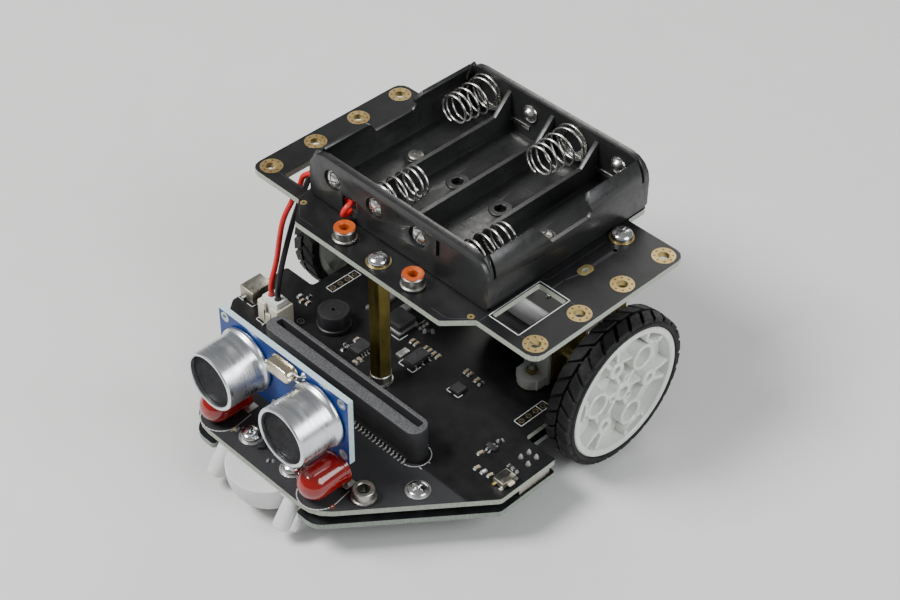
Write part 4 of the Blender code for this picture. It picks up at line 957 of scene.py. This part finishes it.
def make_sensor_trim():
    """Crystal, corner rings, the header's pins and the small parts on the sensor's back."""
    board_front, board_back = low("sensor_board").y, high("sensor_board").y
    top, bottom = high("sensor_board").z, low("sensor_board").z
    piece = Piece("sensor_trim")
    x0, x1, z0, z1, depth = -0.0026, 0.0060, top - 0.0042, top - 0.0006, 0.0034
    outline = oblong(x0, x1, z0, z1, 0.0016, 6)
    piece.add(slab_mesh([outline], board_front - depth, board_front - 0.0004, "XZ", 0.0005), "crystal")
    rim = oblong(x0 - 0.0003, x1 + 0.0003, z0 - 0.0003, z1 + 0.0003, 0.0019, 6)
    piece.add(slab_mesh([rim], board_front - 0.0007, board_front - 0.0002, "XZ", 0.0001), "crystal")
    for z in (z0 + 0.0008, z1 - 0.0008):
        wire = smooth_path([(x1 - 0.0002, board_front - 0.0012, z), (x1 + 0.0010, board_front - 0.0013, z),
                            (x1 + 0.0017, board_front - 0.0009, z), (x1 + 0.0019, board_front, z)], 5)
        piece.add(tube_mesh(wire, 0.00022), "solder")
        piece.add(solder_mesh(0.0008, 0.0007), "solder", Matrix.Translation(
            (x1 + 0.0019, board_front, z)) @ axis_turn("-Y"))
    hole = ring_mesh(0.0008, 0.0014, 0, INK, bevel=0.00001)
    for x in (-0.0209, 0.0209):
        for z in (bottom + 0.0017, top - 0.0017):
            for y, axis in ((board_front, "-Y"), (board_back, "Y")):
                piece.add(hole, "solder", Matrix.Translation((x, y, z)) @ axis_turn(axis))
    joint = solder_mesh(0.0010, 0.0009)
    for x in (-0.0155, -0.0105, 0.0105, 0.0155):
        piece.add(joint, "solder", Matrix.Translation((x, board_back, 0.0345)) @ axis_turn("Y"))
    for i in range(4):
        x = (i - 1.5) * 0.00254
        piece.add(joint, "solder", Matrix.Translation((x, board_front, bottom + 0.0013)) @ axis_turn("-Y"))
        piece.box((x - 0.0003, board_back + 0.0002, MAIN_TOP + 0.0001),
                  (x + 0.0003, board_back + 0.0042, MAIN_TOP + 0.0006), "solder", 0.0001)
    for x, z, w, h in ((-0.0060, 0.0385, 0.0052, 0.0040), (0.0070, 0.0385, 0.0052, 0.0040),
                       (0.0, 0.0315, 0.0088, 0.0040)):
        piece.box((x - w / 2, board_back + 0.0001, z - h / 2), (x + w / 2, board_back + 0.0015, z + h / 2),
                  "chip", 0.00012)
        legs = int(w / 0.00127)
        for i in range(legs):
            px = x + (i - (legs - 1) / 2) * 0.00127
            for s in (-1, 1):
                a, b = sorted((z + s * h / 2, z + s * (h / 2 + 0.0009)))
                piece.box((px - 0.0002, board_back + 0.00002, a), (px + 0.0002, board_back + 0.0003, b),
                          "solder", 0.00004)
    for i in range(6):
        x = -0.0190 + i * 0.0026 + (0.0230 if i > 2 else 0)
        piece.box((x - 0.0008, board_back, 0.0283), (x + 0.0008, board_back + 0.0005, 0.0291), "solder",
                  0.0001)
        piece.box((x - 0.0004, board_back, 0.02825), (x + 0.0004, board_back + 0.00055, 0.02915),
                  "chip", 0.00005)
    piece.done("sensor_circuit_board")


def make_headlight(name):
    """Red lamp lying on its side, with its flange, metal frame and two soldered tabs."""
    node = "headlight_" + name
    first, last = low(node), high(node)
    centre = middle(node)
    r, length = (last.x - first.x) / 2, last.y - first.y
    body = length - r
    arcs = [(r * math.cos(a), body + r * math.sin(a))
            for a in (math.pi / 2 * i / 10 for i in range(10, -1, -1))]
    profile = [(0, length)] + arcs[1:] + [(r, 0.0013), (r + 0.00022, 0.0012), (r + 0.00022, 0.0001),
                                          (r, 0), (0, 0)]
    spot = shift(centre.x, last.y, centre.z + 0.00002)
    lens = Piece(node + "_fine").add(lathe_mesh(profile, "-Y", 56), "lens", spot)
    lens.done("red_lens", node)
    metal = Piece(node + "_frame")
    for side in (-1, 1):
        a, b = sorted((side * 0.0022, side * 0.0042))
        metal.box((a, -0.0016, -r + 0.00006), (b, 0.0018, -r + 0.0004), "solder", 0.0001, spot)
        metal.box((a, 0.0002, -r + 0.0002), (a + 0.0006, 0.0006, 0.0004), "solder", 0.0001, spot)
    metal.done("steel")


# ---------------------------------------------------------------- wheels

def make_wheel(name, s):
    """Moulded white wheel: lipped rim, web, three large rings, three bosses, ribs and hub."""
    node = "wheel_" + name
    outer = 0.0505
    depth = 0.0081
    R = 0.0186
    rim = [(R - 0.0018, -0.0003), (R - 0.0015, 0), (R - 0.0003, 0), (R, -0.0003), (R, -depth + 0.0003),
           (R - 0.0003, -depth), (R - 0.0015, -depth), (R - 0.0018, -depth + 0.0003)]
    piece = Piece(node + "_fine")
    hold = shift(s * outer, AXLE_Y, AXLE_Z)
    if s < 0:
        hold = hold @ Matrix.Rotation(math.pi, 4, "Z")
    piece.add(lathe_mesh(rim, "X", 96), "white", hold)
    web_out, web_in = -0.0038, -0.0054
    holes = [circle(0, 0, 0.0016, 28)]
    for i in range(3):
        a = math.radians(50 + 120 * i)
        b = a + math.pi / 3
        holes.append([(0.0056 * math.cos(b) + u, 0.0056 * math.sin(b) + v)
                      for u, v in [(0.0011 * math.cos(b + t) * 1.5, 0.0011 * math.sin(b + t))
                                   for t in (math.tau * k / 18 for k in range(18))]])
    web = slab_mesh([circle(0, 0, R - 0.0010, 72)] + holes, web_in, web_out, "YZ", 0.0001)
    piece.add(web, "white", hold)

    def ring(radius_in, radius_out, distance, degrees, top):
        a = math.radians(degrees)
        mesh = ring_mesh(radius_in, radius_out, web_out - 0.0002, top, "X", 36, 0.00025)
        piece.add(mesh, "white", hold @ shift(0, distance * math.cos(a), distance * math.sin(a)))

    def wall(points, thick, top):
        """A raised rib along points given as (radius, degrees)."""
        spots = [(r * math.cos(math.radians(d)), r * math.sin(math.radians(d))) for r, d in points]
        for (u0, v0), (u1, v1) in zip(spots, spots[1:]):
            half = math.hypot(u1 - u0, v1 - v0) / 2 + thick * 0.3
            turn = Matrix.Rotation(math.atan2(v1 - v0, u1 - u0), 4, "X")
            place = hold @ shift(0, (u0 + u1) / 2, (v0 + v1) / 2) @ turn
            piece.box((web_out - 0.0002, -half, -thick / 2), (top, half, thick / 2), "white", 0.00022,
                      place)

    for i in range(3):
        a, b = 50 + 120 * i, 110 + 120 * i
        ring(0.0028, 0.0038, 0.0099, a, -0.0005)
        ring(0.0011, 0.0025, 0.0099, b, -0.0006)
        wall([(0.0170, a - 12), (0.0150, a - 11.5), (0.0143, a - 6), (0.0143, a + 6), (0.0150, a + 11.5),
              (0.0170, a + 12)], 0.0011, -0.0006)
        wall([(0.0174, b - 9), (0.0118, b - 6)], 0.0012, -0.0009)
        wall([(0.0174, b + 9), (0.0118, b + 6)], 0.0012, -0.0009)
        wall([(0.0028, a), (0.0066, a)], 0.0014, -0.0012)
        wall([(0.0078, b), (0.0030, b)], 0.0010, -0.0016)
        ring(0.0008, 0.0013, 0.0036, a + 18, -0.0010)
        wall([(0.0100, b - 16), (0.0097, a + 20)], 0.0009, -0.0014)
    hub = [(0.0016, -0.0009), (0.0026, -0.0009), (0.0029, -0.0012), (0.0034, web_out), (0.0034, web_in),
           (0.0036, -0.0164), (0.0034, -0.0168), (0.0016, -0.0168)]
    piece.add(lathe_mesh(hub, "X", 40), "white", hold)
    flat = box_mesh((-0.0060, -0.0015, 0.00105), (-0.0010, 0.0015, 0.0017))
    piece.add(flat, "white", hold)
    for i in range(9):
        turn = Matrix.Rotation(math.tau * i / 9, 4, "X")
        piece.box((-depth + 0.0008, 0.0032, -0.0005), (web_in + 0.0002, R - 0.0016, 0.0005), "white",
                  0.0002,
                  hold @ turn)
    piece.add(ring_mesh(0.0100, 0.0110, -depth + 0.0010, web_in + 0.0002, "X", 48, 0.0002), "white", hold)
    piece.done("white_plastic", node, body=name + "_wheel")


def make_tyre(name):
    """Tyre with two rows of slanted tread blocks that meet in a groove."""
    node = "tyre_" + name
    first, last = low(node), high(node)
    centre = (first + last) / 2
    radius, width = (last.z - first.z) / 2, last.x - first.x
    bed, inner, half = radius - 0.0013, 0.0187, width / 2
    profile = [(inner, half - 0.0003), (inner + 0.0003, half), (bed - 0.0005, half),
               (bed, half - 0.0005), (bed, 0.0005 - half), (bed - 0.0005, -half), (inner + 0.0003, -half),
               (inner, 0.0003 - half)]
    spot = Matrix.Translation(centre)
    piece = Piece(node + "_fine").add(lathe_mesh(profile, "X", 96), "tyre", spot)
    blocks, slant, gap = 28, 0.55, 0.16
    step = math.tau / blocks
    for row in (-1, 1):
        for i in range(blocks):
            bm = bmesh.new()
            corners = []
            for r, draft in ((bed - 0.0002, 0.0), (radius, 0.04)):
                layer = []
                for x, lean in ((0.00035, 0.0), (half - 0.0002, 1.0)):
                    for edge in (0, 1):
                        a = step * (i + 0.5 * (row > 0) + lean * slant * 1.0
                                    + (gap / 2 + draft if edge == 0 else 1 - gap / 2 - draft))
                        out = r if (lean == 0 or r < radius) else radius - 0.0004
                        side = x - (0.0002 * lean if draft else 0)
                        layer.append(bm.verts.new((row * side, out * math.cos(a), out * math.sin(a))))
                corners.append(layer)
            (a, b, c, d), (e, f, g, h) = corners
            for quad in ((a, b, d, c), (e, g, h, f), (a, e, f, b), (c, d, h, g), (a, c, g, e),
                         (b, f, h, d)):
                bm.faces.new(quad)
            bmesh.ops.recalc_face_normals(bm, faces=bm.faces)
            bmesh.ops.bevel(bm, geom=bm.edges[:], offset=0.00014, segments=1, affect="EDGES")
            piece.add(mesh_of(bm), "tyre", spot)
    piece.add(ring_mesh(inner + 0.0001, inner + 0.0011, -half - 0.00012, half + 0.00012, "X", 96, 0.0001),
              "tyre", spot)
    piece.done("tyre", node, body=name + "_wheel")


def make_drive_trim():
    """Motor end caps with their terminals, and the saddles' screws and nuts."""
    for name, s in SIDES:
        first, last = low("motor_" + name), high("motor_" + name)
        end = last.x if s < 0 else first.x
        piece = Piece("motor_trim_" + name)
        spot = shift(end, AXLE_Y, AXLE_Z)
        piece.add(ring_mesh(0.0010, 0.00435, -0.0001, 0.00002, "X", 36, 0.00001), "black", spot)
        inward = -s
        a, b = sorted((inward * 0.0001, inward * 0.0008))
        piece.add(rod_mesh(0.0011, a, b, "X", 24, 0.0002), "turned", spot)
        a, b = sorted((inward * -0.0006, inward * 0.0014))
        for side in (-1, 1):
            piece.box((a, side * 0.0031 - 0.0007, -0.0002), (b, side * 0.0031 + 0.0007, 0.0002), "gold",
                      0.00006, spot)
        piece.done("steel")
        ears = Piece("bracket_screws_" + name)
        x = middle("bracket_" + name).x
        crest = low("bracket_" + name).z + 0.0032
        thread = [(0.00085 if i % 2 else 0.00070, -0.00012 * i) for i in range(44)]
        rod = [(0, 0.0001), (0.0006, 0.0001)] + thread + [(0.0006, -0.0054), (0, -0.0054)]
        hexagon = lathe_mesh([(0.0009, 0.0002), (0.0015, 0.0002), (0.0016, 0.0001), (0.0016, -0.0006),
                              (0.0009, -0.0006)], steps=6)
        for y in (-0.0088, 0.0088):
            place = move(x, y, crest)
            ears.add(lathe_mesh(rod, steps=20), "turned", place @ shift(0, 0, 0.0021))
            ears.add(hexagon, "brass", place @ shift(0, 0, 0.0008))
        ears.done("steel")


# ---------------------------------------------------------------- caster

def make_caster():
    """Moulded shell with a flange, two slanted ears and the steel ball."""
    top = high("caster_housing").z
    x, y = 0.0, -0.0735
    r, shoulder, drop, ball = 0.0107, 0.0086, 0.0080, 0.0050
    mouth = math.acos((ball - 0.0008) / r)
    rise = top - 0.0012 - (shoulder - drop * math.sin(mouth))
    outside = [(r, top - 0.0002)]
    outside += [(r * math.cos(mouth * i / 24),
                 top - 0.0012 - rise * math.sin(mouth * i / 24) / math.sin(mouth))
                for i in range(25)]
    cup = ball + 0.0003
    start = math.asin((outside[-1][1] - ball) / cup)
    inside = [(cup * math.cos(start + (1.05 - start) * i / 10),
               ball + cup * math.sin(start + (1.05 - start) * i / 10))
              for i in range(11)]
    profile = [(r - 0.0002, top)] + outside + inside + [(inside[-1][0], top)]
    piece = Piece("caster_housing_fine")
    piece.add(lathe_mesh(profile, steps=72), "matt_white", move(x, y, 0))
    flange = oblong(-0.0149, 0.0149, -0.0781, -0.0688, 0.0030, 6)
    hole = [circle(s * 0.0076, -0.0723, 0.0013, 20) for s in (-1, 1)]
    throat = circle(0, y, inside[-1][0], 32)
    loops = [[(u, v + AXLE_Y) for u, v in loop] for loop in [flange, throat] + hole]
    piece.add(slab_mesh(loops, top - 0.0014, top, bevel=0.0002), "matt_white")
    lean = turned(-35, "X")
    for _, s in SIDES:
        place = move(s * 0.0124, -0.0810, 0.0042) @ lean
        piece.add(rod_mesh(0.0023, 0, 0.0092, steps=36, bevel=0.0007), "matt_white", place)
        piece.add(rod_mesh(0.0011, 0.0004, 0.0080, steps=24, bevel=0.0004), "matt_white",
                  place @ shift(s * 0.0026, 0.0012, 0.0006))
    piece.done("white_plastic", "caster_housing")
    bm = bmesh.new()
    bmesh.ops.create_uvsphere(bm, u_segments=56, v_segments=28, radius=ball)
    Piece("caster_ball_fine").add(mesh_of(bm), "chrome", move(x, y, ball)).done(
        "chrome", "caster_ball", body="ball")


# ---------------------------------------------------------------- battery holder

BAYS = tuple((i - 1.5) * 0.0150 for i in range(4))
CELL_Z = low("battery_holder").z + 0.0084


def helix(x, s):
    """Cone-shaped coil: open and wide at the wall, closing up towards its tip."""
    node = "battery_spring_%d" % (BAYS.index(x) + 1)
    wall, tip = (low(node).y, high(node).y) if s > 0 else (high(node).y, low(node).y)
    turns, count, points = 5.6, 168, []
    start, length = wall + s * 0.0004, abs(tip - wall) - 0.0008
    for i in range(count + 1):
        t = i / count
        a = math.tau * turns * t + 0.8
        radius = 0.0051 - 0.0013 * t ** 0.8
        climb = 0.04 * t + 0.96 * (1 - (1 - max(0, t - 0.12) / 0.88) ** 1.45)
        points.append(Vector((x + radius * math.cos(a), start + s * length * climb,
                              CELL_Z + radius * math.sin(a) + 0.0006 * t)))
    return points


def make_springs():
    for i, x in enumerate(BAYS):
        s = 1 if i % 2 else -1
        name = "battery_spring_%d" % (i + 1)
        Piece(name + "_fine").add(tube_mesh(helix(x, s), 0.00030, 3), "nickel").done(
            "spring_steel", name, degrees=60)


def make_contacts():
    """Button contacts, the strips that join cells, split rivets and floor screws."""
    first, last = low("battery_holder"), high("battery_holder")
    inner = {-1: first.y + 0.0020, 1: last.y - 0.0020}
    piece = Piece("battery_contacts")
    button = [(0, 0.0016), (0.0009, 0.00155), (0.0014, 0.0012), (0.0017, 0.0007), (0.0021, 0.0004),
              (0.0024, 0.0003), (0.0025, 0), (0, 0)]
    for i, x in enumerate(BAYS):
        wall = 1 if i % 2 else -1
        turn = axis_turn("-Y" if wall > 0 else "Y")
        piece.add(lathe_mesh(button, steps=36), "nickel",
                  Matrix.Translation((x, inner[wall] - wall * 0.0001, CELL_Z + 0.0006)) @ turn)
        away = inner[-wall] + wall * 0.0002
        piece.add(ring_mesh(0.0030, 0.0048, -0.0001, 0.0001, "Y", 36, 0.00003), "nickel",
                  shift(x, away, CELL_Z))
    for wall, (a, b) in ((1, (0, 1)), (1, (2, 3)), (-1, (1, 2))):
        y = inner[wall] - wall * 0.00025
        piece.box((BAYS[a], y - 0.0001, CELL_Z - 0.0046), (BAYS[b], y + 0.0001, CELL_Z - 0.0034), "nickel")
    petal = lathe_mesh([(0, 0.0011), (0.0007, 0.0012), (0.0015, 0.0010), (0.0021, 0.0005), (0.0022, 0.0001),
                        (0, 0)], steps=36)
    cross = [box_mesh((-0.0030, -0.00022, 0.0002), (0.0030, 0.00022, 0.0030)),
             box_mesh((-0.00022, -0.0030, 0.0002), (0.00022, 0.0030, 0.0030))]
    petals = evaluated(petal, cross)
    for i, x in enumerate(BAYS[:3]):
        tilt = turned(18 + 24 * i)
        piece.add(petals, "nickel", shift(x, first.y + 0.0008, CELL_Z) @ axis_turn("-Y") @ tilt)
        piece.add(ring_mesh(0.0021, 0.0024, -0.0001, 0.0002, "Y", 36, 0.00005), "nickel",
                  shift(x, first.y + 0.0008, CELL_Z))
    z0 = first.z
    for k, x in enumerate((-0.0192, -0.0180, -0.0158, -0.0144)):
        piece.box((x, first.y + 0.0016, z0 + 0.0015 + 0.0004 * k),
                  (x + 0.0002, first.y + 0.0024, z0 + 0.0056),
                  "nickel", 0.00003)
    piece.done("spring_steel")
    screws = Piece("holder_screws")
    head = phillips_mesh(0.0022, 0.0009, 0.0010, 0.0012)
    floor = z0 + 0.0010
    for i, x in enumerate(BAYS):
        place = move(x, -0.0018, floor + 0.00005)
        if i in (0, 3):
            screws.add(head, "turned", place @ Matrix.Rotation(0.5 + i, 4, "Z"))
        screws.add(ring_mesh(0.0022 if i in (0, 3) else 0.0015, 0.0030, -0.0001, 0.00030, steps=40,
                             bevel=0.00012), "holder", place)
    screws.done("steel")


def make_holder_lines():
    """Fine moulded lines on the cell beds and generic plus and minus marks."""
    piece = Piece("holder_marks")
    floor = low("battery_holder").z + 0.0010
    z, line = floor - 0.00001, 0.00016
    for i, x in enumerate(BAYS):
        plus, minus = (0.0175, -0.0150) if i % 2 else (-0.0210, 0.0085)
        for side in (-1, 1):
            stroke(piece, [(x + side * 0.0056, -0.0262), (x + side * 0.0056, 0.0225)], line, "holder", z)
            stroke(piece, [(x + side * 0.0032, -0.0130), (x + side * 0.0032, 0.0110)], line, "holder", z)
        for y in (-0.0130, 0.0110):
            stroke(piece, [(x - 0.0032, y), (x - 0.0012, y)], line, "holder", z)
            stroke(piece, [(x + 0.0012, y), (x + 0.0032, y)], line, "holder", z)
        stroke(piece, [(x - 0.0013, plus), (x + 0.0013, plus)], line * 2, "holder", z)
        stroke(piece, [(x, plus - 0.0013), (x, plus + 0.0013)], line * 2, "holder", z)
        stroke(piece, [(x - 0.0013, minus), (x + 0.0013, minus)], line * 2, "holder", z)
        stroke(piece, arc(x, plus, 0.0022, 0, 359, 24), line, "holder", z)
    piece.done("black_plastic")


def make_wires():
    """The two leads of the battery holder, along the same routes as their CAD solids."""
    red = [(-0.03655, -0.0404, 0.0220), (-0.03660, -0.0402, 0.0275),
           (-0.03690, -0.0378, 0.0335), (-0.03710, -0.0350, 0.0440), (-0.03715, -0.0315, 0.0490),
           (-0.03710, -0.0288, 0.0524), (-0.03640, -0.0279, 0.0556), (-0.03430, -0.0270, 0.0571),
           (-0.03150, -0.0267, 0.0572), (-0.02930, -0.0269, 0.0570), (-0.02720, -0.0280, 0.0568),
           (-0.02450, -0.0283, 0.0568), (-0.02050, -0.0283, 0.0574), (-0.01760, -0.0286, 0.0592),
           (-0.01590, -0.0300, 0.0601), (-0.01560, -0.0317, 0.0599), (-0.01590, -0.0327, 0.0586),
           (-0.01630, -0.0324, 0.0573), (-0.01650, -0.0310, 0.0569), (-0.01660, -0.0295, 0.0570)]
    black = [(-0.03405, -0.0404, 0.0220), (-0.03420, -0.0400, 0.0275),
             (-0.03560, -0.0362, 0.0350), (-0.03700, -0.0310, 0.0440),
             (-0.03760, -0.0262, 0.0510), (-0.03700, -0.0246, 0.0550),
             (-0.03500, -0.0246, 0.0568), (-0.03250, -0.0247, 0.0572),
             (-0.03050, -0.0247, 0.0572), (-0.02860, -0.0250, 0.0573)]
    for node, route in (("battery_wire_red", red), ("battery_wire_black", black)):
        look = node.replace("battery_wire_", "") + "_wire"
        path = smooth_path([at(*p) for p in route], 8)
        piece = Piece(node + "_fine").add(tube_mesh(path, 0.00075, 4), look)
        plug_end = [path[0] - Vector((0, 0, d)) for d in (0.0024, 0.0)]
        piece.add(tube_mesh(plug_end, 0.00072, 4), look)
        piece.done(look, node, degrees=60)


def make_underside():
    """Bright connector shells and soldered pins between the two lower plates."""
    piece = Piece("between_plates")
    z0, z1 = high("lower_plate").z + 0.0002, low("main_board").z - 0.0001
    for s in (-1, 1):
        a, b = sorted((s * 0.0462, s * 0.0494))
        piece.box(at(a, -0.0365, z0), at(b, -0.0258, z1), "tin", 0.0003)
        a, b = sorted((s * 0.0452, s * 0.0464))
        piece.box(at(a, -0.0355, z0), at(b, -0.0268, z1 - 0.0004), "black", 0.0001)
    bump = solder_mesh(0.0008, 0.0009)
    down = Matrix.Rotation(math.pi, 4, "X")
    for i in range(20):
        for y in (-0.0494, -0.0465):
            piece.add(bump, "solder", move((i - 9.5) * 0.00254, y, z1 + 0.0001) @ down)
    piece.done("steel")


# ---------------------------------------------------------------- put together

def soften(node, look, slot, width, body=BODY):
    """A piece in place of a CAD node: same shape, flat faces merged, edges rounded."""
    work = bpy.data.objects.new("work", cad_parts[node].data.copy())
    bpy.context.scene.collection.objects.link(work)
    work.modifiers.new("weld", "WELD").merge_threshold = 1e-5
    merge = work.modifiers.new("merge", "DECIMATE")
    merge.decimate_type, merge.angle_limit = "DISSOLVE", math.radians(1.5)
    bevel = work.modifiers.new("bevel", "BEVEL")
    bevel.width, bevel.segments, bevel.limit_method = width, 2, "ANGLE"
    bevel.angle_limit = math.radians(38)
    bpy.context.view_layer.update()
    source = work.evaluated_get(bpy.context.evaluated_depsgraph_get())
    mesh = bpy.data.meshes.new_from_object(source)
    bpy.data.objects.remove(work, do_unlink=True)
    Piece(node + "_fine").add(mesh, look).done(slot, node, body=body, degrees=30)


NODE_LOOKS = {
    "main_board": "board", "top_plate": "deck", "lower_plate": "smoke", "sensor_board": "blue",
    "switch_slider": "black", "button_plunger": "ivory", "plate_spacer_left": "turned",
    "plate_spacer_right": "turned",
}
for _name, _side in SIDES:
    NODE_LOOKS.update({"gearbox_" + _name: "brass", "pinion_" + _name: "brass",
                       "idler_gear_" + _name: "brass", "output_shaft_" + _name: "chrome"})
SOFT_EDGES = (("battery_holder", "holder", "black_plastic", 0.00022),
              ("battery_socket", "ivory", "ivory_plastic", 0.00015),
              ("battery_plug", "white", "white_plastic", 0.00015),
              ("switch_body", "tin", "steel", 0.00012), ("button_body", "tin", "steel", 0.0001),
              ("sensor_header", "black", "black_plastic", 0.00012),
              ("bracket_left", "nylon", "clear_nylon", 0.0003),
              ("bracket_right", "nylon", "clear_nylon", 0.0003),
              ("motor_left", "motor", "steel", 0.0002), ("motor_right", "motor", "steel", 0.0002))

LOOKS = make_looks()
make_camera()
make_studio()
make_wires()
for _node, _look in NODE_LOOKS.items():
    _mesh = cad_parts[_node].data
    _mesh.materials.clear()
    _mesh.materials.append(LOOKS[_look])
for _row in SOFT_EDGES:
    soften(*_row)
make_fasteners()
make_chips()
make_prints()
make_edge_connector()
make_buzzer()
make_socket_trim()
make_deck_prints()
for _name, _side in SIDES:
    make_transducer(_name)
    make_headlight(_name)
    make_wheel(_name, _side)
    make_tyre(_name)
make_sensor_trim()
make_drive_trim()
make_caster()
make_springs()
make_contacts()
make_holder_lines()
make_underside()
